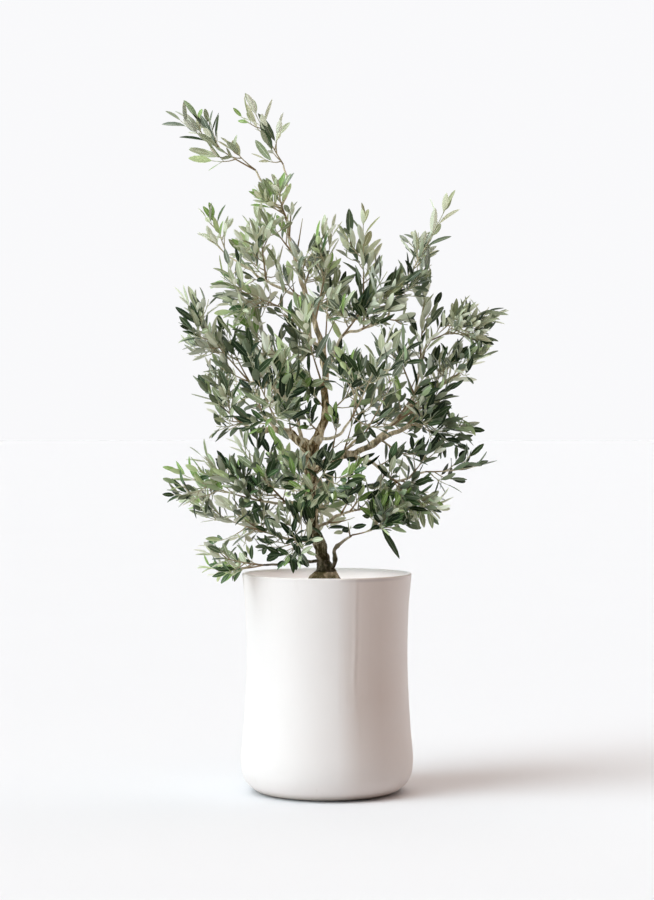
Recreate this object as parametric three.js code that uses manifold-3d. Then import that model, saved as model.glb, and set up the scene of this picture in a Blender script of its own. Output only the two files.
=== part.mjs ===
// Young olive tree in a tall round planter, in millimetres.
// +Z is up, the viewer stands on the -Y side, and the origin is the middle of the planter's base.

import * as THREE from "three";
import { mergeVertices } from "three/addons/utils/BufferGeometryUtils.js";
import Module from "manifold-3d";

const wasm = await Module();
wasm.setup();

// Planter
const POT_HEIGHT = 350;
const RIM_RADIUS = 135.5;
const NECK_RADIUS = 130.5;
const NECK_HEIGHT = 290;
const WAIST_RADIUS = 129;
const WAIST_HEIGHT = 205;
const BELLY_RADIUS = 138;
const BELLY_HEIGHT = 60;
const FOOT_RADIUS = 96;
const CORNER_RADIUS = 42;
const LIP_THICKNESS = 5;
const WALL_THICKNESS = 8;
const FLOOR_THICKNESS = 14;
const POT_SEGMENTS = 48;

// Soil
const SOIL_EDGE_HEIGHT = 322;
const SOIL_TOP_HEIGHT = 336;
const SOIL_FLAT_RADIUS = 42;

// Clearances and grain
const CLEARANCE = 0.3;
const TRUNK_SIDES = 14;
const BOUGH_SIDES = 6;
const TWIG_SIDES = 3;
const RING_SPACING = 26;

// Root flare
const FLARE_HEIGHT = 34;
const FLARE_RADIUS = 20;
const FLARE_LOBES = 5;

// Leaves and twigs
const LEAF_LENGTH = 68;
const LEAF_WIDTH = 22;
const LEAF_KEEL = 1.6;
const LEAF_SINK = 0.6;
const LEAF_ANGLE = 0.72;
const LEAF_LIFT = 0.16;
const LEAF_GAP = 7;
const LEAF_TRIES = [[0, 0], [0.8, 0], [-0.8, 0], [0, 0.5], [1.2, 0.5], [-1.2, 0.5]];
const PAIR_SPACING = 25;
const STEM_RADIUS = 2.2;
const TWIG_RADIUS = 1.9;
const TWIG_END_RADIUS = 1.4;
const BARE_SHARE = 0.25;
const BACK_SHARE = 0.4;
const GOLDEN_ANGLE = 2.39996;

// Colours
const POT_COLOUR = 0xe9e4df;
const SOIL_COLOUR = 0x3a2f26;
const BARK_COLOUR = 0x6f5b41;
const TWIG_BARK_COLOUR = 0x8b7a5c;
const LEAF_COLOUR = 0x6d7c62;

// The trunk from the cut at the soil up to its fork: spine points and the radius at each end.
const TRUNK = {
  name: "trunk",
  spine: [
    [-3, 0, 328],
    [-5, 0, 362],
    [-14, -3, 394],
    [-26, -4, 428],
    [-26, -2, 480],
    [-26, 0, 530],
    [-23, 0, 562],
  ],
  base: 10.5,
  end: 7.5,
};

// Each bough leaves a limb at a share of its length, passes its bends and ends at its tip.
const BOUGHS = [
  {
    name: "leader",
    from: "trunk",
    at: 0.95,
    bends: [
      [-6, 1, 590],
      [-4, 3, 672],
      [-14, 0, 730],
      [-36, -3, 803],
      [-56, 0, 869],
      [-70, 3, 926],
      [-93, 3, 953],
    ],
    tip: [-114, 0, 994],
    base: 7.5,
    end: 1.7,
  },
  {
    name: "left_arm",
    from: "trunk",
    at: 0.93,
    bends: [[-46, 2, 564], [-78, 5, 577], [-108, 10, 579]],
    tip: [-134, 12, 588],
    base: 7.5,
    end: 2,
  },
  {
    name: "right_arm",
    from: "trunk",
    at: 0.8,
    bends: [[18, -6, 535], [58, -10, 548], [100, -8, 572]],
    tip: [134, -4, 587],
    base: 6.5,
    end: 2.2,
  },
  {
    name: "left_riser",
    from: "left_arm",
    at: 0.16,
    bends: [[-50, 12, 612]],
    tip: [-53, 16, 674],
    base: 3.2,
    end: 1.8,
  },
  {
    name: "left_brown_bough",
    from: "left_riser",
    at: 0.5,
    bends: [[-92, 4, 648]],
    tip: [-124, 0, 656],
    base: 2.8,
    end: 1.7,
  },
  {
    name: "left_dark_bough",
    from: "leader",
    at: 0.33,
    bends: [[-42, -12, 747]],
    tip: [-72, -20, 774],
    base: 2.6,
    end: 1.6,
  },
  {
    name: "left_upper_bough",
    from: "leader",
    at: 0.52,
    bends: [[-76, 2, 806], [-104, 0, 820], [-124, -4, 838]],
    tip: [-158, -6, 856],
    base: 2.6,
    end: 1.5,
  },
  {
    name: "top_right_bough",
    from: "leader",
    at: 0.84,
    bends: [[-63, 8, 968]],
    tip: [-70, 8, 1004],
    base: 2,
    end: 1.5,
  },
  {
    name: "right_long_bough",
    from: "leader",
    at: 0.25,
    bends: [[22, -6, 724], [52, -10, 739], [92, -8, 756]],
    tip: [104, -8, 782],
    base: 3,
    end: 1.7,
  },
  {
    name: "right_riser",
    from: "right_arm",
    at: 0.6,
    bends: [[118, 4, 602], [136, 8, 624], [149, 8, 676]],
    tip: [160, 6, 720],
    base: 3,
    end: 1.7,
  },
  {
    name: "right_low_bough",
    from: "right_arm",
    at: 0.38,
    bends: [[73, -26, 525], [110, -36, 500]],
    tip: [156, -34, 513],
    base: 2.8,
    end: 1.6,
  },
  {
    name: "right_lowest_bough",
    from: "trunk",
    at: 0.4,
    bends: [[16, 6, 441]],
    tip: [44, 10, 450],
    base: 2.8,
    end: 1.8,
  },
  {
    name: "foot_twig",
    from: "trunk",
    at: 0.15,
    bends: [[9, -14, 384]],
    tip: [40, -26, 412],
    base: 2.4,
    end: 1.6,
  },
  {
    name: "left_low_bough",
    from: "trunk",
    at: 0.58,
    bends: [[-72, -6, 462]],
    tip: [-106, -12, 466],
    base: 3.2,
    end: 1.8,
  },
  {
    name: "left_lowest_bough",
    from: "trunk",
    at: 0.31,
    bends: [[-64, 14, 404]],
    tip: [-98, 24, 414],
    base: 3,
    end: 1.8,
  },
  {
    name: "foot_bough",
    from: "trunk",
    at: 0.17,
    bends: [[-46, -34, 369]],
    tip: [-100, -84, 368],
    base: 3,
    end: 1.7,
  },
  {
    name: "front_right_bough",
    from: "leader",
    at: 0.03,
    bends: [[18, -30, 570]],
    tip: [36, -68, 594],
    base: 3,
    end: 1.7,
  },
  {
    name: "front_left_bough",
    from: "left_arm",
    at: 0.36,
    bends: [[-80, -26, 590]],
    tip: [-84, -54, 602],
    base: 2.8,
    end: 1.7,
  },
  {
    name: "back_left_bough",
    from: "left_arm",
    at: 0.5,
    bends: [[-96, 40, 592]],
    tip: [-106, 70, 606],
    base: 2.8,
    end: 1.7,
  },
  {
    name: "back_right_bough",
    from: "right_arm",
    at: 0.3,
    bends: [[40, 24, 556]],
    tip: [62, 54, 574],
    base: 3,
    end: 1.7,
  },
];

// Each mass of leaves: the limb it grows from, where on it, the tip it reaches, its girth as a radius,
// and the number of side shoots.
const MASSES = [
  { name: "top_left", on: "leader", at: 1, tip: [-258, -6, 1088], girth: 46, shoots: 3 },
  { name: "top", on: "top_right_bough", at: 1, tip: [-132, 6, 1118], girth: 42, shoots: 3 },
  { name: "leader_tuft", on: "leader", at: 0.8, tip: [-86, -44, 986], girth: 50, shoots: 3 },
  { name: "left_slim", on: "left_upper_bough", at: 1, tip: [-190, -8, 946], girth: 30, shoots: 2 },
  { name: "left_crest", on: "left_upper_bough", at: 0.5, tip: [-112, -10, 948], girth: 56, shoots: 3 },
  { name: "mid_crest", on: "leader", at: 0.56, tip: [-12, 40, 890], girth: 50, shoots: 2 },
  { name: "right_crest", on: "leader", at: 0.44, tip: [14, -44, 922], girth: 50, shoots: 3 },
  { name: "right_plume", on: "right_long_bough", at: 0.62, tip: [58, 20, 946], girth: 48, shoots: 3 },
  { name: "right_high", on: "right_long_bough", at: 1, tip: [206, -10, 962], girth: 54, shoots: 3 },
  { name: "right_slim", on: "right_riser", at: 0.72, tip: [158, 0, 846], girth: 38, shoots: 2 },
  { name: "right_far", on: "right_riser", at: 1, tip: [284, 2, 786], girth: 60, shoots: 3 },
  { name: "right_edge", on: "right_riser", at: 0.4, tip: [268, -8, 716], girth: 60, shoots: 3 },
  { name: "left_edge", on: "left_brown_bough", at: 1, tip: [-244, -10, 808], girth: 54, shoots: 3 },
  { name: "left_upper", on: "left_dark_bough", at: 1, tip: [-196, -46, 836], girth: 60, shoots: 3 },
  { name: "left_inner", on: "left_riser", at: 1, tip: [-150, 50, 776], girth: 66, shoots: 3 },
  { name: "left_mid", on: "left_arm", at: 1, tip: [-218, 4, 664], girth: 56, shoots: 3 },
  { name: "front_left", on: "front_left_bough", at: 1, tip: [-128, -190, 716], girth: 74, shoots: 3 },
  { name: "front_upper", on: "leader", at: 0.21, tip: [-42, -168, 768], girth: 70, shoots: 3 },
  { name: "left_low", on: "left_low_bough", at: 1, tip: [-262, -30, 520], girth: 62, shoots: 3 },
  { name: "left_lowest", on: "left_lowest_bough", at: 1, tip: [-230, 76, 462], girth: 60, shoots: 3 },
  { name: "left_core", on: "left_low_bough", at: 0.5, tip: [-150, -70, 570], girth: 64, shoots: 3 },
  { name: "foot_left", on: "foot_bough", at: 1, tip: [-212, -116, 394], girth: 46, shoots: 3 },
  { name: "foot_front", on: "left_lowest_bough", at: 0.3, tip: [-60, -130, 424], girth: 66, shoots: 3 },
  { name: "front_core", on: "trunk", at: 0.66, tip: [14, -164, 546], girth: 70, shoots: 3 },
  { name: "back_low", on: "trunk", at: 0.5, tip: [-40, 190, 540], girth: 80, shoots: 3 },
  { name: "right_lowest", on: "right_lowest_bough", at: 1, tip: [166, 50, 478], girth: 64, shoots: 3 },
  { name: "foot_right", on: "foot_twig", at: 1, tip: [124, -104, 446], girth: 58, shoots: 3 },
  { name: "right_low", on: "right_low_bough", at: 0.5, tip: [190, -66, 448], girth: 56, shoots: 3 },
  { name: "right_low_tip", on: "right_low_bough", at: 1, tip: [272, -30, 526], girth: 42, shoots: 2 },
  { name: "right_mid", on: "right_arm", at: 1, tip: [256, 0, 606], girth: 62, shoots: 3 },
  { name: "front_right", on: "front_right_bough", at: 1, tip: [104, -176, 744], girth: 78, shoots: 3 },
  { name: "right_inner", on: "right_long_bough", at: 0.4, tip: [110, -90, 850], girth: 60, shoots: 3 },
  { name: "back_right", on: "back_right_bough", at: 1, tip: [140, 190, 724], girth: 84, shoots: 3 },
  { name: "back_left", on: "back_left_bough", at: 1, tip: [-140, 200, 730], girth: 80, shoots: 3 },
  { name: "back_high", on: "leader", at: 0.3, tip: [4, 160, 850], girth: 76, shoots: 3 },
];

const UP = new THREE.Vector3(0, 0, 1);
const vector = (xyz) => new THREE.Vector3(...xyz);

// A repeatable number from 0 to 1 for a seed and a count.
function chance(seed, count) {
  const wave = Math.sin(seed * 127.1 + count * 311.7) * 43758.5453;
  return wave - Math.floor(wave);
}

// Solids and meshes
function solidOf(geometry) {
  geometry.deleteAttribute("normal");
  geometry.deleteAttribute("uv");
  const merged = mergeVertices(geometry, 1e-4);
  return new wasm.Manifold(
    new wasm.Mesh({
      numProp: 3,
      vertProperties: merged.attributes.position.array,
      triVerts: new Uint32Array(merged.index.array),
    }),
  );
}

function largestBody(solid) {
  const bodies = solid.decompose();
  return bodies.reduce((best, body) => (body.volume() > best.volume() ? body : best));
}

function placedMesh(name, solid, at, colour, roughness) {
  const { vertProperties, triVerts } = solid.getMesh();
  const geometry = new THREE.BufferGeometry();
  geometry.setAttribute("position", new THREE.BufferAttribute(new Float32Array(vertProperties), 3));
  geometry.setIndex(new THREE.BufferAttribute(new Uint32Array(triVerts), 1));
  geometry.translate(-at.x, -at.y, -at.z);
  geometry.computeVertexNormals();
  const material = new THREE.MeshStandardMaterial({ color: colour, roughness, metalness: 0 });
  const mesh = new THREE.Mesh(geometry, material);
  mesh.name = name;
  mesh.position.copy(at);
  return mesh;
}

// A closed bar along a curve: a ring of corners at each station, or one point where its radius is 0.
function barGeometry(curve, stations, sides, radiusAt) {
  const fine = 60;
  const frames = curve.computeFrenetFrames(fine, false);
  const positions = [];
  const index = [];
  const rings = stations.map((share) => {
    const centre = curve.getPointAt(share);
    const frame = Math.round(share * fine);
    const ring = [];
    const corners = radiusAt(share, 0) === 0 ? 1 : sides;
    for (let side = 0; side < corners; side++) {
      const angle = (side / sides) * 2 * Math.PI;
      const radius = radiusAt(share, angle);
      const point = centre
        .clone()
        .addScaledVector(frames.normals[frame], radius * Math.cos(angle))
        .addScaledVector(frames.binormals[frame], radius * Math.sin(angle));
      ring.push(positions.length / 3);
      positions.push(point.x, point.y, point.z);
    }
    return ring;
  });
  for (let i = 1; i < rings.length; i++) {
    const [low, high] = [rings[i - 1], rings[i]];
    for (let side = 0; side < sides; side++) {
      const next = (side + 1) % sides;
      if (low.length > 1) index.push(low[side], low[next], high[next]);
      if (low.length > 1) index.push(low[side], high[next], high[side]);
      else index.push(low[0], high[next], high[side]);
    }
  }
  const [first, last] = [rings[0], rings.at(-1)];
  for (let side = 1; side < sides - 1; side++) {
    if (first.length > 1) index.push(first[0], first[side + 1], first[side]);
    index.push(last[0], last[side], last[side + 1]);
  }
  const geometry = new THREE.BufferGeometry();
  geometry.setAttribute("position", new THREE.Float32BufferAttribute(positions, 3));
  geometry.setIndex(index);
  return geometry;
}

function evenStations(count) {
  return Array.from({ length: count + 1 }, (_, i) => i / count);
}

// Limbs
function taper(limb, share) {
  return limb.end + (limb.base - limb.end) * Math.pow(1 - share, 0.8);
}

function curveThrough(points) {
  return new THREE.CatmullRomCurve3(points, false, "catmullrom", 0.5);
}

function limbSolid(limb, extra) {
  const rings = Math.max(3, Math.round(limb.length / RING_SPACING));
  const radiusAt = (share) => taper(limb, share) + extra;
  return solidOf(barGeometry(limb.curve, evenStations(rings), BOUGH_SIDES, radiusAt));
}

// The trunk flares at its foot into rounded root lobes.
function flareAt(limb, share) {
  const height = limb.curve.getPointAt(share).z - SOIL_TOP_HEIGHT;
  const low = Math.min(1, Math.max(0, 1 - height / FLARE_HEIGHT));
  return FLARE_RADIUS * Math.pow(low, 2.2);
}

function trunkSolid(limb, extra) {
  const rings = Math.round(limb.length / 16);
  const radiusAt = (share, angle) => {
    const lobes = 1 + 0.22 * Math.cos(FLARE_LOBES * angle + 0.6);
    return taper(limb, share) + flareAt(limb, share) * lobes + extra;
  };
  return solidOf(barGeometry(limb.curve, evenStations(rings), TRUNK_SIDES, radiusAt));
}

function traceLimbs() {
  const limbs = new Map();
  const trunk = { ...TRUNK, curve: curveThrough(TRUNK.spine.map(vector)) };
  trunk.length = trunk.curve.getLength();
  limbs.set(trunk.name, trunk);
  for (const row of BOUGHS) {
    const parent = limbs.get(row.from);
    const start = parent.curve.getPointAt(row.at);
    const points = [start, ...row.bends.map(vector), vector(row.tip)];
    const limb = { ...row, curve: curveThrough(points) };
    limb.length = limb.curve.getLength();
    limbs.set(limb.name, limb);
  }
  return limbs;
}

// Points and radii along a limb or stem that leaves and twigs keep clear of.
function guardAlong(owner, curve, radiusAt, steps) {
  const guard = [];
  for (let step = 0; step <= steps; step++) {
    const share = step / steps;
    guard.push({ owner, point: curve.getPointAt(share), radius: radiusAt(share) });
  }
  return guard;
}

// Pot and soil
function potWallRadius(height) {
  const outline = new THREE.SplineCurve([
    new THREE.Vector2(BELLY_RADIUS - 0.6, CORNER_RADIUS),
    new THREE.Vector2(BELLY_RADIUS, BELLY_HEIGHT),
    new THREE.Vector2((BELLY_RADIUS + WAIST_RADIUS) / 2 - 0.5, 118),
    new THREE.Vector2(WAIST_RADIUS, WAIST_HEIGHT),
    new THREE.Vector2(NECK_RADIUS, NECK_HEIGHT),
    new THREE.Vector2(RIM_RADIUS, POT_HEIGHT),
  ]);
  const points = outline.getPoints(80);
  const above = points.findIndex((point) => point.y >= height);
  if (above <= 0) return points[0].x;
  const low = points[above - 1];
  const high = points[above];
  return low.x + ((high.x - low.x) * (height - low.y)) / (high.y - low.y);
}

// The corner between the flat base and the wall, drawn as part of a circle.
function cornerRadiusAt(height, inset) {
  const reach = CORNER_RADIUS - inset;
  const drop = Math.max(0, CORNER_RADIUS - height);
  return FOOT_RADIUS - 0.6 + Math.sqrt(Math.max(0, reach * reach - drop * drop));
}

function innerWallRadius(height) {
  if (height < CORNER_RADIUS) return cornerRadiusAt(height, WALL_THICKNESS);
  const lipShare = Math.max(0, (height - NECK_HEIGHT) / (POT_HEIGHT - NECK_HEIGHT));
  return potWallRadius(height) - WALL_THICKNESS + (WALL_THICKNESS - LIP_THICKNESS) * lipShare;
}

const WALL_HEIGHTS = [42, 70, 118, 160, 205, 250, 290, 330];

function potSolid() {
  const profile = [new THREE.Vector2(0, 0), new THREE.Vector2(FOOT_RADIUS, 0)];
  for (const height of [1.5, 6, 13, 22, 32]) {
    profile.push(new THREE.Vector2(cornerRadiusAt(height, 0), height));
  }
  for (const height of WALL_HEIGHTS) profile.push(new THREE.Vector2(potWallRadius(height), height));
  profile.push(new THREE.Vector2(RIM_RADIUS - 0.3, POT_HEIGHT - 1.6));
  profile.push(new THREE.Vector2(RIM_RADIUS - 1.6, POT_HEIGHT));
  profile.push(new THREE.Vector2(RIM_RADIUS - LIP_THICKNESS + 1.4, POT_HEIGHT));
  profile.push(new THREE.Vector2(RIM_RADIUS - LIP_THICKNESS + 0.2, POT_HEIGHT - 1.6));
  for (const height of WALL_HEIGHTS.toReversed()) {
    profile.push(new THREE.Vector2(innerWallRadius(height), height));
  }
  for (const height of [32, 22, FLOOR_THICKNESS]) {
    profile.push(new THREE.Vector2(innerWallRadius(height), height));
  }
  profile.push(new THREE.Vector2(0, FLOOR_THICKNESS));
  return solidOf(lathe(profile));
}

function soilSolid() {
  const profile = [new THREE.Vector2(0, FLOOR_THICKNESS)];
  for (const height of [FLOOR_THICKNESS, 22, 32, ...WALL_HEIGHTS.filter((h) => h < SOIL_EDGE_HEIGHT)]) {
    profile.push(new THREE.Vector2(innerWallRadius(height) - CLEARANCE, height));
  }
  profile.push(new THREE.Vector2(innerWallRadius(SOIL_EDGE_HEIGHT) - CLEARANCE, SOIL_EDGE_HEIGHT));
  profile.push(new THREE.Vector2(96, SOIL_EDGE_HEIGHT + 4));
  profile.push(new THREE.Vector2(66, SOIL_EDGE_HEIGHT + 9));
  profile.push(new THREE.Vector2(SOIL_FLAT_RADIUS, SOIL_TOP_HEIGHT));
  profile.push(new THREE.Vector2(0, SOIL_TOP_HEIGHT));
  return solidOf(lathe(profile));
}

// A turned shape standing upright, about +Z.
function lathe(profile) {
  return new THREE.LatheGeometry(profile, POT_SEGMENTS).rotateX(Math.PI / 2);
}

// A block that fills all the space under a height.
function blockBelow(height) {
  const block = new THREE.BoxGeometry(400, 400, 100);
  block.translate(0, 0, height - 50);
  return solidOf(block);
}

// The space of a mass is a spindle along its growth, walled off from its neighbours.
function spindle(row, limbs, seed) {
  const limb = limbs.get(row.on);
  const root = limb.curve.getPointAt(row.at);
  const tip = vector(row.tip);
  const axis = tip.clone().sub(root);
  const length = axis.length();
  axis.normalize();
  const half = (length + BACK_SHARE * row.girth) / 2;
  const centre = tip.clone().addScaledVector(axis, -half);
  const name = `leaves_${row.name}`;
  return { ...row, name, seed, root, tip, axis, length, centre, half, walls: [] };
}

// The spindle's measure as a matrix: a point's reach is 1 on the surface.
function measure(mass) {
  const { x, y, z } = mass.axis;
  const along = 1 / mass.half ** 2;
  const across = 1 / mass.girth ** 2;
  const more = along - across;
  return new THREE.Matrix3().set(
    across + more * x * x, more * x * y, more * x * z,
    more * x * y, across + more * y * y, more * y * z,
    more * x * z, more * y * z, across + more * z * z,
  );
}

function blended(a, b, share) {
  const mixed = new THREE.Matrix3();
  mixed.elements = a.elements.map((value, i) => value * (1 - share) + b.elements[i] * share);
  return mixed;
}

// The wall between two spindles touches both where they would first meet as they grow evenly.
function wallBetween(a, b) {
  const shapeA = measure(a);
  const shapeB = measure(b);
  let low = 0;
  let high = 1;
  let point = a.centre.clone();
  for (let turn = 0; turn < 24; turn++) {
    const share = (low + high) / 2;
    const pull = a.centre.clone().applyMatrix3(shapeA).multiplyScalar(1 - share);
    pull.addScaledVector(b.centre.clone().applyMatrix3(shapeB), share);
    point = pull.applyMatrix3(blended(shapeA, shapeB, share).invert());
    const fromA = point.clone().sub(a.centre);
    const fromB = point.clone().sub(b.centre);
    const reachA = fromA.dot(fromA.clone().applyMatrix3(shapeA));
    const reachB = fromB.dot(fromB.clone().applyMatrix3(shapeB));
    if (reachA < reachB) low = share;
    else high = share;
  }
  const normal = point.clone().sub(a.centre).applyMatrix3(shapeA).normalize();
  return { normal, offset: normal.dot(point) };
}

function isInside(mass, point, margin) {
  const from = point.clone().sub(mass.centre);
  const along = from.dot(mass.axis);
  const across = Math.sqrt(from.lengthSq() - along * along);
  if (Math.abs(along / mass.half) ** 3 + (across / mass.girth) ** 3 > 1) return false;
  const outward = Math.hypot(point.x, point.y);
  if (outward < RIM_RADIUS + 5 && point.z < POT_HEIGHT + 5) return false;
  return mass.walls.every((wall) => wall.normal.dot(point) < wall.offset - margin);
}

// Whether a bar from one point to another stays clear of the limbs and of other stems.
function isClear(mass, from, to, halfWidth, guards) {
  const way = to.clone().sub(from);
  const wayLength = way.lengthSq();
  return guards.every((guard) => {
    if (guard.owner === mass.name) return true;
    const gap = guard.point.clone().sub(from);
    const share = Math.min(1, Math.max(0, gap.dot(way) / wayLength));
    const distance = gap.addScaledVector(way, -share).length();
    return distance > guard.radius + halfWidth + 1.2;
  });
}

// How far one can go from a point before leaving the mass's space.
function roomFrom(mass, point, direction) {
  let reach = 0;
  while (reach < 160) {
    const next = point.clone().addScaledVector(direction, reach + 3);
    if (!isInside(mass, next, CLEARANCE)) return reach;
    reach += 3;
  }
  return reach;
}

// A unit direction across another one, turned round it by an angle.
function acrossDirection(direction, angle) {
  const side = new THREE.Vector3().crossVectors(direction, UP);
  if (side.length() < 0.05) side.set(1, 0, 0);
  side.normalize();
  const other = new THREE.Vector3().crossVectors(side, direction).normalize();
  return side.multiplyScalar(Math.cos(angle)).addScaledVector(other, Math.sin(angle));
}

// A leaf is a pointed blade, flat above and keeled below: its root, tip, two edges and keel.
function leafPoints(at, direction, faceUp, length) {
  const side = new THREE.Vector3().crossVectors(direction, faceUp).normalize();
  const face = new THREE.Vector3().crossVectors(side, direction).normalize();
  const width = LEAF_WIDTH * (0.35 + (0.65 * length) / LEAF_LENGTH);
  const root = at.clone().addScaledVector(direction, -LEAF_SINK);
  const tip = root.clone().addScaledVector(direction, length);
  const middle = root.clone().addScaledVector(direction, length * 0.45);
  const left = middle.clone().addScaledVector(side, -width / 2).addScaledVector(face, LEAF_KEEL / 2);
  const right = middle.clone().addScaledVector(side, width / 2).addScaledVector(face, LEAF_KEEL / 2);
  const keel = middle.clone().addScaledVector(face, -LEAF_KEEL / 2);
  return [root, tip, left, right, keel];
}

function leafSolid(points) {
  const geometry = new THREE.BufferGeometry();
  const positions = points.flatMap((point) => [point.x, point.y, point.z]);
  geometry.setAttribute("position", new THREE.Float32BufferAttribute(positions, 3));
  geometry.setIndex([0, 3, 2, 1, 2, 3, 0, 4, 3, 1, 3, 4, 0, 2, 4, 1, 4, 2]);
  return solidOf(geometry);
}

// A leaf keeps clear of the other leaves and twigs of its mass past its own root.
function crossesOwn(mass, from, to, twig) {
  const near = from.clone().lerp(to, 0.3);
  const way = to.clone().sub(near);
  const wayLength = way.lengthSq();
  return mass.taken.some(({ point, owner }) => {
    if (owner === twig) return false;
    const gap = point.clone().sub(near);
    const share = Math.min(1, Math.max(0, gap.dot(way) / wayLength));
    return gap.addScaledVector(way, -share).length() < LEAF_GAP;
  });
}

function tryLeaf(mass, twig, at, direction, roll, guards, pieces) {
  const length = Math.min(LEAF_LENGTH, roomFrom(mass, at, direction));
  if (length < LEAF_LENGTH * 0.5) return false;
  const faceUp = acrossDirection(direction, Math.PI / 2 + roll);
  const points = leafPoints(at, direction, faceUp, length);
  const [root, tip] = points;
  if (!points.every((point) => isInside(mass, point, CLEARANCE))) return false;
  if (!isClear(mass, root, tip, LEAF_WIDTH / 2, guards)) return false;
  if (crossesOwn(mass, root, tip, twig)) return false;
  for (const share of [0.4, 0.6, 0.8, 1]) {
    mass.taken.push({ point: root.clone().lerp(tip, share), owner: "leaf" });
  }
  pieces.push(leafSolid(points));
  return true;
}

// Leaves in opposite pairs along a twig, each pair turned a quarter from the last, and one at the end.
function leafTwig(mass, twig, guards, pieces) {
  const { curve } = twig;
  const pairs = Math.max(1, Math.round((curve.getLength() * (1 - BARE_SHARE)) / PAIR_SPACING));
  for (let pair = 0; pair < pairs; pair++) {
    for (const half of [0, 1]) {
      const count = twig.turn * 50 + pair * 2 + half;
      const share = BARE_SHARE + ((1 - BARE_SHARE) * (pair + 0.4 + 0.12 * half)) / pairs;
      const at = curve.getPointAt(share);
      const tangent = curve.getTangentAt(share);
      const angle = LEAF_ANGLE + 0.4 * (chance(mass.seed, count) - 0.5);
      const quarter = (pair + 2 * half) * (Math.PI / 2);
      const first = twig.turn + quarter + 0.5 * chance(mass.seed, count + 0.3);
      const roll = 1.8 * (chance(mass.seed, count + 0.6) - 0.5);
      for (const [swing, wider] of LEAF_TRIES) {
        const direction = tangent.clone().multiplyScalar(Math.cos(angle + wider));
        direction.addScaledVector(acrossDirection(tangent, first + swing), Math.sin(angle + wider));
        direction.addScaledVector(UP, LEAF_LIFT).normalize();
        if (tryLeaf(mass, twig, at, direction, roll, guards, pieces)) break;
      }
    }
  }
  tryLeaf(mass, twig, curve.getPointAt(0.99), curve.getTangentAt(1), 0.4, guards, pieces);
}

function stemCurve(mass) {
  const reach = Math.max(mass.length - LEAF_LENGTH * 0.8, mass.length * 0.4);
  const end = mass.root.clone().addScaledVector(mass.axis, reach);
  const bend = mass.root.clone().lerp(end, 0.5).addScaledVector(UP, -0.05 * mass.length);
  return new THREE.QuadraticBezierCurve3(mass.root, bend, end);
}

// Numbers from 0 to 1 that fill the range evenly however many are taken.
function evenShare(number) {
  return (number * 0.6180339 + 0.31) % 1;
}

// A side shoot leaves the stem and ends part way out to the edge of the mass's space.
function sideShootCurve(mass, number) {
  const level = -0.75 + 1.6 * evenShare(number);
  const azimuth = number * GOLDEN_ANGLE + 6.28 * chance(mass.seed, 40);
  const outward = acrossDirection(mass.axis, azimuth).multiplyScalar(Math.sqrt(1 - level * level));
  outward.addScaledVector(mass.axis, level).normalize();
  const heart = mass.centre.clone().addScaledVector(mass.axis, 0.3 * level * mass.half);
  const reach = roomFrom(mass, heart, outward);
  const end = heart.clone().addScaledVector(outward, Math.max(0.5 * reach, reach - 0.5 * LEAF_LENGTH));
  const height = end.clone().sub(mass.root).dot(mass.axis) - 0.6 * reach;
  const start = mass.stem.getPointAt(Math.min(0.85, Math.max(0.06, height / mass.stem.getLength())));
  const bend = start.clone().lerp(end, 0.5).addScaledVector(outward, -0.06 * reach);
  return new THREE.QuadraticBezierCurve3(start, bend, end);
}

function isShootClear(mass, shoot, guards) {
  const points = shoot.getPoints(4);
  return points.slice(1).every((point, i) => {
    const inside = i < 1 || isInside(mass, point, TWIG_RADIUS + CLEARANCE);
    return inside && isClear(mass, points[i], point, TWIG_RADIUS, guards);
  });
}

// All the twigs of a mass: its stem and those side shoots that stay in its space.
function growTwigs(mass, guards) {
  mass.twigs = [{ curve: mass.stem, turn: 0, base: STEM_RADIUS, stations: [0, 0.5, 1] }];
  for (let number = 0; number < 4 * mass.shoots && mass.twigs.length <= mass.shoots; number++) {
    const curve = sideShootCurve(mass, number);
    if (!isShootClear(mass, curve, guards)) continue;
    mass.twigs.push({ curve, turn: number + 1, base: TWIG_RADIUS, stations: [0, 0.1, 1] });
  }
  mass.taken = [];
  for (const twig of mass.twigs) {
    for (const share of [0.45, 0.7, 1]) {
      mass.taken.push({ point: twig.curve.getPointAt(share), owner: twig });
    }
  }
}

function massSolid(mass, guards, limbCut) {
  growTwigs(mass, guards);
  const pieces = [];
  for (const twig of mass.twigs) {
    const isSide = twig.curve !== mass.stem;
    const radiusAt = (share) => {
      if (isSide && share === 0) return 0;
      return twig.base + (TWIG_END_RADIUS - twig.base) * share;
    };
    pieces.push(solidOf(barGeometry(twig.curve, twig.stations, TWIG_SIDES, radiusAt)));
  }
  for (const twig of mass.twigs) leafTwig(mass, twig, guards, pieces);
  const joined = pieces.reduce((whole, piece) => whole.add(piece));
  return largestBody(joined.subtract(limbCut));
}

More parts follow.
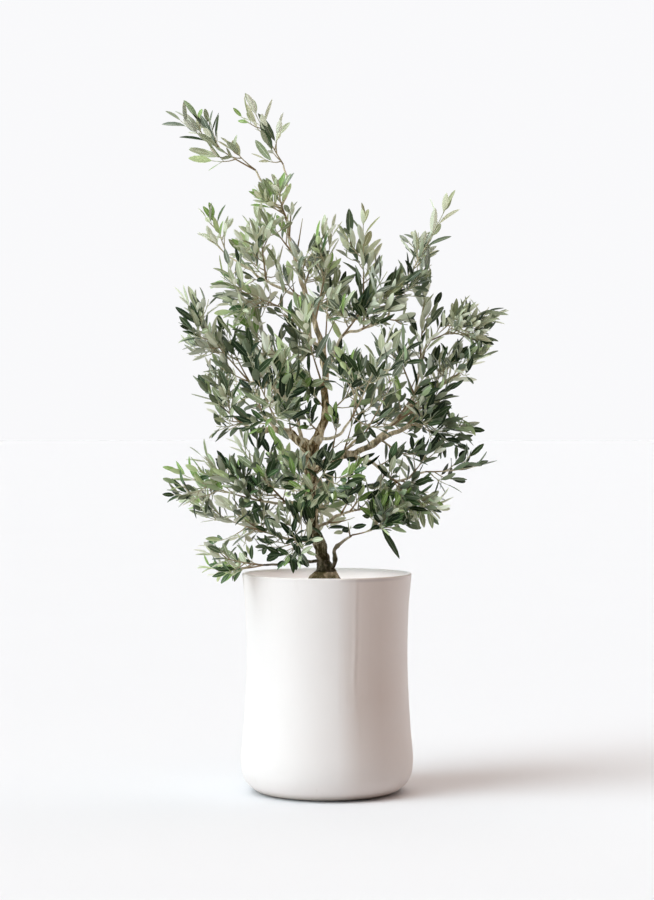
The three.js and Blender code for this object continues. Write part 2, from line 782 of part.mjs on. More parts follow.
// Assembly
function buildPlant() {
  const plant = new THREE.Group();
  const limbs = traceLimbs();
  const cuts = new Map();
  const guards = [];
  for (const limb of limbs.values()) {
    const isTrunk = limb.name === TRUNK.name;
    const make = isTrunk ? trunkSolid : limbSolid;
    cuts.set(limb.name, make(limb, CLEARANCE));
    let solid = make(limb, 0);
    if (isTrunk) solid = solid.subtract(blockBelow(SOIL_TOP_HEIGHT));
    else solid = solid.subtract(cuts.get(limb.from));
    const colour = limb.base > 5 ? BARK_COLOUR : TWIG_BARK_COLOUR;
    plant.add(placedMesh(limb.name, largestBody(solid), limb.curve.getPointAt(0), colour, 0.9));
    const radiusAt = (share) => taper(limb, share) + (isTrunk ? flareAt(limb, share) : 0);
    guards.push(...guardAlong(limb.name, limb.curve, radiusAt, Math.round(limb.length / 8)));
  }
  const masses = MASSES.map((row, i) => spindle(row, limbs, i + 1));
  for (const mass of masses) {
    mass.stem = stemCurve(mass);
    guards.push(...guardAlong(mass.name, mass.stem, () => STEM_RADIUS, 14));
    mass.walls = masses.filter((other) => other !== mass).map((other) => wallBetween(mass, other));
  }
  for (const mass of masses) {
    const solid = massSolid(mass, guards, cuts.get(mass.on));
    plant.add(placedMesh(mass.name, solid, mass.root, LEAF_COLOUR, 0.6));
  }
  return plant;
}

const centre = new THREE.Vector3(0, 0, 0);
const tree = new THREE.Group();
tree.add(placedMesh("pot", potSolid(), centre, POT_COLOUR, 0.55));
tree.add(placedMesh("soil", soilSolid(), centre, SOIL_COLOUR, 0.95));
tree.add(buildPlant());

export default tree;
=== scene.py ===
# Potted olive tree: the finished tree and planter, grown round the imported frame.
# Growth is worked out in millimetres, and each piece is made in metres, +Z up, viewer on -Y.

import math

import bmesh
import bpy
import numpy as np
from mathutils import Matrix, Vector, kdtree, noise


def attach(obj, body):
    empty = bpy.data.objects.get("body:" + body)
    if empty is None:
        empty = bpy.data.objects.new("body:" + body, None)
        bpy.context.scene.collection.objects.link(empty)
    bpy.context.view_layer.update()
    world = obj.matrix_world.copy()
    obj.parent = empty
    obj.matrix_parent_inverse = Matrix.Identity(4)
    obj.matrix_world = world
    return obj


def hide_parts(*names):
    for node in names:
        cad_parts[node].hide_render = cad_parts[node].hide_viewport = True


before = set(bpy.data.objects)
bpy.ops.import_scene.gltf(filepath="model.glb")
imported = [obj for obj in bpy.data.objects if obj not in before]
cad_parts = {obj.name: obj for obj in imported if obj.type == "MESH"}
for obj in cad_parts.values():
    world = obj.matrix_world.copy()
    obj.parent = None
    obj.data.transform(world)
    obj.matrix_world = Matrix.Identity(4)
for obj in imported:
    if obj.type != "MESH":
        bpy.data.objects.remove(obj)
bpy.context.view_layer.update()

MM = 0.001

# Planter, as in the solids
POT_HEIGHT = 350.0
RIM_RADIUS = 135.5
NECK_RADIUS = 130.5
NECK_HEIGHT = 290.0
WAIST_RADIUS = 129.0
WAIST_HEIGHT = 205.0
BELLY_RADIUS = 138.0
BELLY_HEIGHT = 60.0
FOOT_RADIUS = 96.0
CORNER_RADIUS = 42.0
LIP_THICKNESS = 5.0
WALL_THICKNESS = 8.0
POT_TURNS = 360

# Soil
SOIL_EDGE_HEIGHT = 322.0
SOIL_TOP_HEIGHT = 336.0
SOIL_FLAT_RADIUS = 42.0
SOIL_TURNS = 150
SOIL_GAP = 0.3
# Crumbs of three sizes: how high they stand and how wide they are.
SOIL_CRUMBS = ((1.6, 14), (1.1, 5), (0.6, 2))
HIGHEST_CRUMB = 0.6

# Wood: its reach, its root flare and its bark relief
CROWN_TOP = 1118.0
TRUNK_FOOT = 337.0
FLARE_HEIGHT = 34.0
FLARE_RADIUS = 20.0
FLARE_POWER = 2.2
FLARE_LOBES = 5
LOBE_DEPTH = 0.42
RIDGE_DEPTH = 0.11
RIDGE_COUNT = 9
SWELLING_DEPTH = 0.09
WRINKLE_DEPTH = 1.5
BURL_DEPTH = 7.0
# How far limbs waver, over what length, and where the noise for each direction is read.
WAVER_DRIFT = 4.0
WAVER_LENGTH = 21
WAVER_FREE_END = 25
WAVER_SIDES = (4.2, 14.7, 25.2)
BARK_VOXEL = 1.02
# Limbs that are thicker than this at their base get more sides and finer rings.
THICK_BASE = 5
# The radii of the oldest and of the youngest wood, whose bark differs.
OLD_RADIUS = 8.0
YOUNG_RADIUS = 1.8
LEADER_THINNING = 1.4
BOUGH_THINNING = 0.8

# Leaves and twigs
LEAF_LENGTH = 39.0
LEAF_WIDTH = 11.2
LEAF_THICKNESS = 0.5
RIB_DEPTH = 0.45
RIB_WIDTH = 0.7
RIB_ANGLE = 32
STALK_LENGTH = 4.0
STALK_RADIUS = 0.6
LEAF_ANGLE = 0.84
LEAF_LIFT = 0.3
LEAF_GAP = 3.0
END_LEAF_SIZE = 0.84
LEAF_TRIES = ((0.0, 0.0), (0.8, 0.0), (-0.8, 0.0), (0.0, 0.5), (1.2, 0.5), (-1.2, 0.5))
PAIR_SPACING = 18.5
STEM_RADIUS = 2.0
TWIG_RADIUS = 1.15
SPRIG_RADIUS = 0.9
TWIG_END_RADIUS = 0.55
TWIG_SIDES = 5
STALK_SIDES = 4
BROWN_RADIUS = 1.25
TAN_RADIUS = 0.86
BARE_SHARE = 0.26
WIDE_BARE_SHARE = 0.4
WIDE_GIRTH = 64.0
BACK_SHARE = 0.4
GOLDEN_ANGLE = 2.39996
GOLDEN_SHARE = 0.6180339
SHOOTS_MORE = 2.7
FULL_GIRTH = 58.0
SHOOT_SAG = 0.14
SPRIGLESS_LENGTH = 44
SPRIG_SHARES = (0.32, 0.58)
LONGEST_SPRIG = 52
WALL_LEEWAY = -18.0
LIMB_CLEARANCE = 1.2
POT_CLEARANCE = 5
SPINDLE_POWER = 3
WALL_HALVINGS = 24
SHORTEST_LEAF = 0.42
CROWN_REACH = 260
YOUNG_SHARE = 0.08
# Leaves are short and broad on the low shoots and longest on the topmost: heights, and sizes there.
LEAF_HEIGHTS = (380, 620, 900, 1010)
LEAF_SIZES = (0.74, 1.0, 1.0, 1.16)
# How far leaves turn outward to the light: heights, and shares there.
LIGHT_HEIGHTS = (420, 760)
LIGHT_SHARES = (1.3, 0.15)

TRUNK = {
    "name": "trunk",
    "spine": (
        (-3, 0, 328),
        (-5, 0, 362),
        (-10, -3, 394),
        (-24, -4, 428),
        (-26, -2, 480),
        (-26, 0, 530),
        (-23, 0, 562),
    ),
    "base": 10.5,
    "end": 7.5,
}

# Each bough: its name, the limb it leaves, at what share of that limb, its bends, its tip,
# and its radius at the base and at the end.
LEADER_BENDS = (
    (-6, 1, 590),
    (-4, 3, 672),
    (-14, 0, 730),
    (-36, -3, 803),
    (-56, 0, 869),
    (-70, 3, 926),
    (-93, 3, 953),
)
UPPER_BENDS = ((-76, 2, 806), (-104, 0, 820), (-124, -4, 838))
LONG_BENDS = ((22, -6, 724), (52, -10, 739), (92, -8, 756))
BOUGHS = (
    ("leader", "trunk", 0.95, LEADER_BENDS, (-114, 0, 994), 7.5, 1.7),
    ("left_arm", "trunk", 0.93, ((-46, 2, 564), (-78, 5, 577), (-108, 10, 579)), (-134, 12, 588), 7.5, 2.0),
    ("right_arm", "trunk", 0.8, ((18, -6, 535), (58, -10, 548), (100, -8, 572)), (134, -4, 587), 5.6, 3.2),
    ("left_riser", "left_arm", 0.16, ((-50, 12, 612),), (-53, 16, 674), 3.2, 1.8),
    ("left_brown_bough", "left_riser", 0.5, ((-92, 4, 648),), (-124, 0, 656), 2.8, 1.7),
    ("left_dark_bough", "leader", 0.33, ((-42, -12, 747),), (-72, -20, 774), 2.6, 1.6),
    ("left_upper_bough", "leader", 0.52, UPPER_BENDS, (-158, -6, 856), 2.6, 1.5),
    ("top_right_bough", "leader", 0.84, ((-63, 8, 968),), (-70, 8, 1004), 2, 1.5),
    ("right_long_bough", "leader", 0.25, LONG_BENDS, (104, -8, 782), 3, 1.7),
    ("right_riser", "right_arm", 0.6, ((118, 4, 602), (136, 8, 624), (149, 8, 676)), (160, 6, 720), 3, 1.7),
    ("right_low_bough", "right_arm", 0.38, ((73, -26, 525), (110, -36, 500)), (156, -34, 513), 2.8, 1.6),
    ("right_lowest_bough", "trunk", 0.4, ((16, 6, 441),), (44, 10, 450), 2.8, 1.8),
    ("foot_twig", "trunk", 0.12, ((10, -8, 360), (12, -10, 378), (14, -12, 391)), (40, -26, 412), 4.0, 1.6),
    ("left_low_bough", "trunk", 0.58, ((-72, -6, 462),), (-106, -12, 466), 3.2, 1.8),
    ("left_lowest_bough", "trunk", 0.31, ((-64, 14, 404),), (-98, 24, 414), 3, 1.8),
    ("foot_bough", "trunk", 0.17, ((-46, -34, 369),), (-100, -84, 368), 3, 1.7),
    ("front_right_bough", "leader", 0.03, ((18, -30, 570),), (36, -68, 594), 3, 1.7),
    ("front_left_bough", "left_arm", 0.36, ((-80, -26, 590),), (-84, -54, 602), 2.8, 1.7),
    ("back_left_bough", "left_arm", 0.5, ((-96, 40, 592),), (-106, 70, 606), 2.8, 1.7),
    ("back_right_bough", "right_arm", 0.3, ((40, 24, 556),), (62, 54, 574), 3, 1.7),
)

# Each mass of leaves: its name, the limb it grows from, where on it, the tip it reaches, its girth
# as a radius, and the number of side shoots of the plain solid.
MASSES = (
    ("top_left", "leader", 1, (-258, -6, 1088), 46, 3),
    ("top", "top_right_bough", 1, (-132, 6, 1118), 42, 3),
    ("leader_tuft", "leader", 0.8, (-86, -44, 986), 50, 3),
    ("left_slim", "left_upper_bough", 1, (-190, -8, 946), 30, 2),
    ("left_crest", "left_upper_bough", 0.5, (-112, -10, 948), 56, 3),
    ("mid_crest", "leader", 0.56, (-12, 40, 890), 50, 2),
    ("right_crest", "leader", 0.44, (14, -44, 922), 50, 3),
    ("right_plume", "right_long_bough", 0.62, (58, 20, 946), 48, 3),
    ("right_high", "right_long_bough", 1, (206, -10, 962), 54, 3),
    ("right_slim", "right_riser", 0.72, (158, 0, 846), 38, 2),
    ("right_far", "right_riser", 1, (284, 2, 786), 60, 3),
    ("right_edge", "right_riser", 0.4, (268, -8, 716), 60, 3),
    ("left_edge", "left_brown_bough", 1, (-244, -10, 808), 54, 3),
    ("left_upper", "left_dark_bough", 1, (-196, -46, 836), 60, 3),
    ("left_inner", "left_riser", 1, (-150, 50, 776), 66, 3),
    ("left_mid", "left_arm", 1, (-218, 4, 664), 56, 3),
    ("front_left", "front_left_bough", 1, (-128, -190, 716), 74, 3),
    ("front_upper", "leader", 0.21, (-42, -168, 768), 70, 3),
    ("left_low", "left_low_bough", 1, (-262, -30, 520), 62, 3),
    ("left_lowest", "left_lowest_bough", 1, (-230, 76, 462), 60, 3),
    ("left_core", "left_low_bough", 0.5, (-150, -70, 570), 64, 3),
    ("foot_left", "foot_bough", 1, (-212, -116, 394), 46, 3),
    ("foot_front", "left_lowest_bough", 0.3, (-60, -130, 424), 66, 3),
    ("front_core", "trunk", 0.66, (14, -164, 546), 70, 3),
    ("back_low", "trunk", 0.5, (-40, 190, 540), 80, 3),
    ("right_lowest", "right_lowest_bough", 1, (166, 50, 478), 64, 3),
    ("foot_right", "foot_twig", 1, (124, -104, 446), 58, 3),
    ("right_low", "right_low_bough", 0.5, (190, -66, 448), 56, 3),
    ("right_low_tip", "right_low_bough", 1, (272, -30, 526), 42, 2),
    ("right_mid", "right_arm", 1, (256, 0, 606), 62, 3),
    ("front_right", "front_right_bough", 1, (104, -176, 744), 78, 3),
    ("right_inner", "right_long_bough", 0.4, (110, -90, 850), 60, 3),
    ("back_right", "back_right_bough", 1, (140, 190, 724), 84, 3),
    ("back_left", "back_left_bough", 1, (-140, 200, 730), 80, 3),
    ("back_high", "leader", 0.3, (4, 160, 850), 76, 3),
)

# Sprays inside the crown that the plain solids leave out, in the same order of values.
INNER_SPRAYS = (
    ("inner_right", "leader", 0.12, (66, -40, 668), 42, 1.2),
    ("inner_arm", "right_arm", 0.32, (50, 10, 622), 40, 1.2),
    ("inner_left", "leader", 0.14, (-46, 30, 672), 36, 1),
    ("inner_front", "leader", 0.24, (12, -62, 722), 36, 1),
    ("inner_mid", "leader", 0.6, (-22, -46, 892), 40, 1.2),
    ("inner_high", "leader", 0.68, (-104, 36, 930), 38, 1),
    ("inner_low", "right_arm", 0.42, (62, -58, 512), 36, 1),
    ("inner_foot", "right_lowest_bough", 0.7, (64, -10, 528), 40, 1.2),
    ("inner_dip", "right_low_bough", 0.38, (122, -62, 548), 38, 1.4),
    ("inner_bend", "right_low_bough", 0.5, (74, -84, 486), 38, 1.2),
    ("inner_edge", "right_riser", 0.2, (196, 16, 660), 40, 1.2),
    ("inner_tip", "right_arm", 0.9, (176, 34, 640), 42, 1.2),
    ("inner_brown", "left_brown_bough", 0.6, (-120, -40, 690), 38, 1),
    ("inner_riser", "right_riser", 0.55, (98, -24, 744), 44, 1.7),
    ("inner_cross", "right_riser", 0.3, (172, -40, 694), 44, 1.7),
    ("inner_gap", "right_long_bough", 0.85, (138, 12, 748), 38, 1.4),
    ("inner_under", "right_arm", 0.7, (158, -44, 520), 44, 1.7),
    ("inner_below", "right_low_bough", 0.8, (180, -10, 568), 40, 1.5),
    ("inner_dark", "right_low_bough", 0.6, (92, -84, 508), 40, 1.5),
    ("inner_top", "leader", 1.0, (-172, -10, 1048), 30, 1.4),
    ("inner_crown", "leader", 0.66, (-34, 10, 948), 36, 1.2),
    ("inner_bare", "leader", 0.5, (-44, -44, 866), 38, 1.4),
    ("inner_fork", "left_dark_bough", 0.6, (-94, -30, 782), 36, 1.2),
    ("inner_elbow", "left_arm", 0.35, (-62, -44, 630), 38, 1.3),
    ("inner_left_low", "left_low_bough", 0.95, (-220, -20, 552), 44, 1.8),
    ("inner_left_gap", "left_lowest_bough", 1.0, (-182, -40, 474), 42, 1.7),
    ("inner_foot_left", "foot_bough", 1.0, (-212, 40, 354), 38, 1.7),
    ("inner_lowest", "right_lowest_bough", 0.35, (66, -60, 446), 42, 1.5),
    ("inner_stub", "foot_twig", 0.95, (30, -70, 456), 36, 1.3),
    ("inner_angle", "left_upper_bough", 0.1, (-84, -36, 836), 34, 1.3),
    ("inner_left_mid", "left_upper_bough", 0.55, (-132, -52, 816), 32, 1.2),
    ("inner_neck", "leader", 0.74, (-54, -20, 946), 26, 1.1),
    ("inner_left_rise", "left_brown_bough", 1.0, (-192, -20, 692), 36, 1.4),
    ("inner_left_up", "left_brown_bough", 1.0, (-178, 24, 764), 34, 1.2),
    ("inner_far", "right_riser", 1.0, (228, -30, 778), 34, 1.3),
    ("inner_arm_low", "right_arm", 0.2, (24, -52, 630), 32, 1.2),
    ("inner_crotch", "leader", 0.06, (-48, -60, 614), 34, 1.8),
    ("inner_riser_tip", "right_riser", 0.8, (164, -44, 742), 32, 1.3),
    ("inner_long", "right_long_bough", 0.6, (88, -52, 762), 32, 1.2),
    ("inner_slit", "left_upper_bough", 0.25, (-90, -10, 878), 28, 1.1),
    ("inner_left_tip", "left_upper_bough", 1.0, (-198, -20, 904), 28, 1.2),
    ("inner_heart", "left_riser", 0.9, (-98, -10, 752), 36, 1.3),
    ("inner_edge_low", "right_riser", 0.3, (220, -20, 656), 34, 1.3),
    ("inner_shoulder", "left_riser", 0.3, (-66, -34, 622), 30, 1.2),
    ("inner_low_mid", "right_lowest_bough", 0.9, (62, -30, 492), 32, 1.2),
    ("inner_low_tip", "right_low_bough", 0.7, (168, -64, 494), 38, 1.4),
)

# Painted light and shade: how much lighter, in shades, the sprays of a mass are than others at their
# height, or darker, as the light falls on them.
PAINTED_LIGHT_BY_MASS = {
    "mid_crest": 2.6,
    "leader_tuft": 1.9,
    "left_crest": 1.4,
    "left_core": 0.6,
    "left_upper": 1.1,
    "right_lowest": 1.0,
    "foot_right": 0.9,
    "right_far": 0.9,
    "right_high": -0.8,
    "right_edge": 0.8,
    "right_crest": 0.8,
    "left_low": 0.5,
    "left_mid": 0.7,
    "front_core": 0.7,
    "right_low": 0.6,
    "left_edge": 0.6,
    "left_inner": 0.5,
    "back_low": 0.5,
    "foot_front": 0.4,
    "left_lowest": -0.7,
    "front_right": -0.6,
    "back_right": -0.6,
    "right_mid": -1.1,
    "inner_arm": -1.2,
    "inner_right": -1.2,
    "right_low_tip": -2.5,
}

# The long leaf that hangs alone: its root, its tip, where its face looks, and its seed.
HANGING_ROOT = (86.0, -60.0, 430.0)
HANGING_TIP = (115.0, -62.0, 383.0)
HANGING_FACE = (1, -1, 0)
HANGING_SEED = 4.2

# Where the sky shows through the crown, from front to back: the west, east, low and high edge.
SKY_GAPS = (
    (34, 280, 340, 416),
    (182, 280, 416, 452),
    (-204, -140, 408, 428),
    (62, 84, 500, 522),
    (219, 241, 500, 521),
    (18, 38, 568, 610),
    (-207, -184, 572, 610),
    (221, 241, 590, 610),
    (200, 244, 610, 634),
    (-138, -118, 656, 678),
    (-28, -8, 662, 692),
    (-264, -240, 722, 768),
    (262, 300, 722, 748),
    (-24, 2, 730, 766),
    (129, 151, 768, 790),
    (242, 300, 778, 800),
    (168, 214, 804, 864),
    (84, 104, 812, 834),
    (-184, -164, 813, 834),
    (90, 102, 832, 862),
    (-48, -24, 868, 925),
    (100, 166, 900, 958),
    (-95, -76, 1060, 1082),
)
# Boxes that leaves keep out of, by their low and high corners: the fork and the trunk show in the
# first two, and the sky in the others.
CROWN_DEPTH = 220
OPEN_SPACES = [((-60, -200, 548), (-8, -10, 580)), ((-18, -220, 430), (50, -8, 455))]
for west, east, low, high in SKY_GAPS:
    OPEN_SPACES.append(((west, -CROWN_DEPTH, low), (east, CROWN_DEPTH, high)))

# Studio
COOL_LIGHT = (0.78, 0.93, 1.0)
WARM_LIGHT = (1.0, 0.76, 0.64)
# Even lights, each from one direction, as from a wide window: the name, the azimuth, which is 0
# behind the camera, the elevation, the strength, the spread in degrees, and the colour.
SUNS = (
    ("window", -61, 9, 1.75, 40, COOL_LIGHT),
    ("window", -61, 38, 1.42, 40, COOL_LIGHT),
    ("window", -61, 62, 1.04, 40, COOL_LIGHT),
    ("ceiling", 0, 88, 1.4, 72, WARM_LIGHT),
    ("far_wall", 112, 16, 0.42, 60, WARM_LIGHT),
    ("back_window", 165, 40, 0.92, 90, COOL_LIGHT),
)
MOUTH_LIGHT = 0.36
MOUTH_COLOUR = (1.0, 0.93, 0.92)
MOUTH_PLACE = (2, -6, POT_HEIGHT + 2)
MOUTH_SIZE = 220
ROOM_COLOUR = (0.95, 0.95, 0.965)
FLOOR_SIZE = 60
CAMERA_PLACE = (0, -3.8, 0.6)
CAMERA_DIP = 0.8
CAMERA_LENS = 95.0
SENSOR_WIDTH = 36.0

# Bark of the twigs by age: its name, and its dark and light tone as linear colours.
TWIG_TONES = (
    ("brown", (0.2, 0.125, 0.06), (0.36, 0.26, 0.14)),
    ("tan", (0.3, 0.235, 0.13), (0.54, 0.46, 0.3)),
    ("green", (0.38, 0.38, 0.2), (0.6, 0.58, 0.4)),
)

# Shades of the sprays: the leaf's face and its back, as linear colours.
LEAF_SHADES = {
    "deep": ((0.013, 0.027, 0.009), (0.12, 0.155, 0.08)),
    "dark": ((0.029, 0.051, 0.016), (0.178, 0.208, 0.116)),
    "mid": ((0.047, 0.073, 0.026), (0.345, 0.375, 0.235)),
    "fresh": ((0.05, 0.112, 0.03), (0.35, 0.44, 0.23)),
    "grey": ((0.136, 0.163, 0.106), (0.618, 0.63, 0.503)),
    "olive": ((0.27, 0.275, 0.12), (0.77, 0.77, 0.53)),
    "sage": ((0.263, 0.302, 0.159), (0.788, 0.8, 0.6)),
    "pale": ((0.502, 0.535, 0.343), (0.868, 0.87, 0.698)),
    "young": ((0.21, 0.33, 0.075), (0.6, 0.7, 0.35)),
}
DULL_SHADES = ("deep", "dark")
DULL_GLOSS = 0.12
LEAF_GLOSS = 0.45
# The shade that a leaf near the base of its twig may take, and one near the tip.
DARKER_AND_LIGHTER = {
    "deep": ("deep", "dark"),
    "dark": ("deep", "mid"),
    "mid": ("dark", "grey"),
    "fresh": ("dark", "young"),
    "grey": ("mid", "sage"),
    "olive": ("mid", "sage"),
    "sage": ("grey", "pale"),
    "pale": ("sage", "pale"),
    "young": ("fresh", "young"),
}
# Shades from the crown's foot to its top: each fifth of its height has its own, from dark to light; the
# darker foot and lighter top are partly painted shade and light.
LOW_SHADES = ("deep", "deep", "dark", "fresh", "sage", "pale")
MIDDLE_SHADES = ("deep", "dark", "dark", "grey", "sage", "pale")
HIGH_SHADES = ("mid", "sage", "olive", "sage", "pale", "pale")
SHADES_BY_HEIGHT = (LOW_SHADES, LOW_SHADES, MIDDLE_SHADES, HIGH_SHADES, HIGH_SHADES)


# Growth


def chance(seed, count):
    """A repeatable number from 0 to 1 for a seed and a count."""
    wave = math.sin(seed * 127.1 + count * 311.7) * 43758.5453
    return wave - math.floor(wave)


def unit(vector):
    return vector / np.linalg.norm(vector)


def upward(height):
    return np.array((0, 0, height))


def waver(*place):
    """Smooth, repeatable noise from -1 to 1 at a place."""
    return noise.noise(Vector(place))


class Route:
    """A line through space that is read by its share of length."""

    def __init__(self, points):
        self.points = np.asarray(points, float)
        steps = np.linalg.norm(np.diff(self.points, axis=0), axis=1)
        self.marks = np.concatenate([[0.0], np.cumsum(steps)])
        self.length = float(self.marks[-1])

    def at(self, share):
        where = np.clip(share, 0, 1) * self.length
        return np.stack([np.interp(where, self.marks, self.points[:, i]) for i in range(3)], -1)

    def heading(self, share):
        return unit(self.at(min(1.0, share + 0.01)) - self.at(max(0.0, share - 0.01)))


def smooth_route(points, steps=20):
    """A route that passes smoothly through all its points."""
    points = [np.asarray(point, float) for point in points]
    ends = [2 * points[0] - points[1], *points, 2 * points[-1] - points[-2]]
    out = [points[0]]
    for a, b, c, d in zip(ends, ends[1:], ends[2:], ends[3:]):
        for step in range(1, steps + 1):
            t = step / steps
            lean_b, lean_c = (c - a) / 2, (d - b) / 2
            cubic = (2 * b - 2 * c + lean_b + lean_c) * t**3
            square = (-3 * b + 3 * c - 2 * lean_b - lean_c) * t**2
            out.append(cubic + square + lean_b * t + b)
    return Route(out)


def bent_route(start, bend, end, steps=16):
    """A route with one even bend."""
    t = np.linspace(0, 1, steps + 1)[:, None]
    return Route((1 - t) ** 2 * start + 2 * (1 - t) * t * bend + t**2 * end)


def knotty(route, seed):
    """A route that wavers a little, as limbs do that have been cut back and grown on."""
    points = []
    for point, mark in zip(route.points, route.marks):
        free = min(1.0, mark / WAVER_FREE_END, (route.length - mark) / WAVER_FREE_END)
        drift = [waver(mark / WAVER_LENGTH, seed, side) for side in WAVER_SIDES]
        points.append(point + np.array(drift) * WAVER_DRIFT * free)
    return Route(points)


def taper(limb, share):
    thinning = LEADER_THINNING if limb["name"] == "leader" else BOUGH_THINNING
    return limb["end"] + (limb["base"] - limb["end"]) * (1 - share) ** thinning


def trace_limbs():
    limbs = {}
    trunk = dict(TRUNK, route=knotty(smooth_route(TRUNK["spine"]), 1.7), source=None)
    limbs["trunk"] = trunk
    for name, source, share, bends, tip, base, end in BOUGHS:
        start = limbs[source]["route"].at(share)
        route = knotty(smooth_route([start, *bends, tip]), base * 3.1)
        limbs[name] = {"name": name, "source": source, "route": route, "base": base, "end": end}
    return limbs


def space_of(row, limbs, seed):
    """The space of a mass: a spindle along its growth."""
    name, limb, share, tip, girth, shoots = row
    root = limbs[limb]["route"].at(share)
    tip = np.array(tip, float)
    length = float(np.linalg.norm(tip - root))
    axis = unit(tip - root)
    half = (length + BACK_SHARE * girth) / 2
    return {
        "name": "leaves_" + name,
        "tone": PAINTED_LIGHT_BY_MASS.get(name, 0),
        "limb": limbs[limb],
        "share": share,
        "root": root,
        "axis": axis,
        "length": length,
        "girth": float(girth),
        "half": half,
        "centre": tip - axis * half,
        "seed": seed,
        "shoots": shoots,
    }


def measure_of(space):
    along = 1 / space["half"] ** 2
    across = 1 / space["girth"] ** 2
    return across * np.eye(3) + (along - across) * np.outer(space["axis"], space["axis"])


def wall_between(a, b):
    """The wall between two spindles touches both where they would first meet as they grow evenly."""
    shape_a, shape_b = measure_of(a), measure_of(b)
    low, high = 0.0, 1.0
    for _ in range(WALL_HALVINGS):
        share = (low + high) / 2
        pull = (1 - share) * shape_a @ a["centre"] + share * shape_b @ b["centre"]
        point = np.linalg.solve((1 - share) * shape_a + share * shape_b, pull)
        from_a, from_b = point - a["centre"], point - b["centre"]
        if from_a @ shape_a @ from_a < from_b @ shape_b @ from_b:
            low = share
        else:
            high = share
    normal = unit(shape_a @ (point - a["centre"]))
    return normal, float(normal @ point)


def is_inside(space, points, margin):
    gap = points - space["centre"]
    along = gap @ space["axis"]
    across = np.sqrt(np.maximum(0, (gap**2).sum(-1) - along**2))
    fits = np.abs(along / space["half"]) ** SPINDLE_POWER + (across / space["girth"]) ** SPINDLE_POWER <= 1
    off_pot = np.hypot(points[..., 0], points[..., 1]) >= RIM_RADIUS + POT_CLEARANCE
    off_pot |= points[..., 2] >= POT_HEIGHT + POT_CLEARANCE
    behind_walls = (points @ space["normals"].T < space["offsets"] - margin).all(-1)
    return fits & off_pot & behind_walls


def bar_gaps(points, start, end):
    """How far each point lies from a straight bar."""
    way = end - start
    gap = points - start
    share = np.clip(gap @ way / (way @ way), 0, 1)
    return np.linalg.norm(gap - share[:, None] * way, axis=1)


def is_clear(space, start, end, half_width):
    gaps = bar_gaps(space["guard_points"], start, end)
    return bool((gaps > space["guard_radii"] + half_width + LIMB_CLEARANCE).all())


def room_from(space, point, direction, step, most):
    """How far one can go from a point before leaving the mass's space."""
    reaches = np.arange(step, most + step, step)
    inside = is_inside(space, point + reaches[:, None] * direction, WALL_LEEWAY)
    outside = np.flatnonzero(~inside)
    return float(reaches[outside[0]] - step) if len(outside) else most


def across_direction(direction, angle):
    """A unit direction across another one, turned round it by an angle."""
    side = np.cross(direction, (0, 0, 1))
    if np.linalg.norm(side) < 0.05:
        side = np.array((1.0, 0, 0))
    side = unit(side)
    other = unit(np.cross(side, direction))
    return side * math.cos(angle) + other * math.sin(angle)


def even_share(number):
    """Numbers from 0 to 1 that fill the range evenly however many are taken."""
    return (number * GOLDEN_SHARE + 0.31) % 1


def stem_route(space):
    reach = max(space["length"] - LEAF_LENGTH * 0.8, space["length"] * 0.4)
    end = space["root"] + space["axis"] * reach
    bend = (space["root"] + end) / 2 - upward(0.05 * space["length"])
    return bent_route(space["root"], bend, end)


def side_shoot_route(space, number):
    """A side shoot leaves the stem and ends part way out to the edge of the mass's space."""
    level = -0.75 + 1.6 * even_share(number)
    azimuth = number * GOLDEN_ANGLE + 6.28 * chance(space["seed"], 40)
    outward = across_direction(space["axis"], azimuth) * math.sqrt(1 - level * level)
    outward = unit(outward + space["axis"] * level)
    heart = space["centre"] + space["axis"] * (0.3 * level * space["half"])
    reach = room_from(space, heart, outward, 3.0, 160.0)
    end = heart + outward * max(0.5 * reach, reach - 0.5 * LEAF_LENGTH)
    height = (end - space["root"]) @ space["axis"] - 0.6 * reach
    start = space["stem"].at(min(0.85, max(0.06, height / space["stem"].length)))
    bend = (start + end) / 2 - outward * (0.04 * reach) - upward(SHOOT_SAG * reach)
    return bent_route(start, bend, end)


def is_shoot_clear(space, route):
    points = route.at(np.linspace(0, 1, 5))
    if is_in_open_space(points):
        return False
    inside = is_inside(space, points[2:], TWIG_RADIUS + WALL_LEEWAY)
    clear = all(is_clear(space, a, b, TWIG_RADIUS) for a, b in zip(points, points[1:]))
    return bool(inside.all()) and clear


def sprig_routes(space, twig):
    """Finer sprigs leave a side shoot in turn to either side and bend up along it."""
    route = twig["route"]
    if route.length < SPRIGLESS_LENGTH:
        return []
    sprigs = []
    for count, share in enumerate(SPRIG_SHARES):
        roll = chance(space["seed"], twig["turn"] * 7 + count)
        azimuth = twig["turn"] * GOLDEN_ANGLE + count * math.pi + 1.2 * roll
        heading = route.heading(share)
        spread = across_direction(heading, azimuth)
        start = route.at(share)
        reach = min(0.62 * route.length, LONGEST_SPRIG) * (0.75 + 0.4 * roll)
        end = start + unit(heading * 0.72 + spread * 0.66 + upward(0.12)) * reach
        bend = start + unit(heading * 0.4 + spread * 0.9) * reach * 0.45
        sprigs.append(bent_route(start, bend, end, 10))
    return sprigs


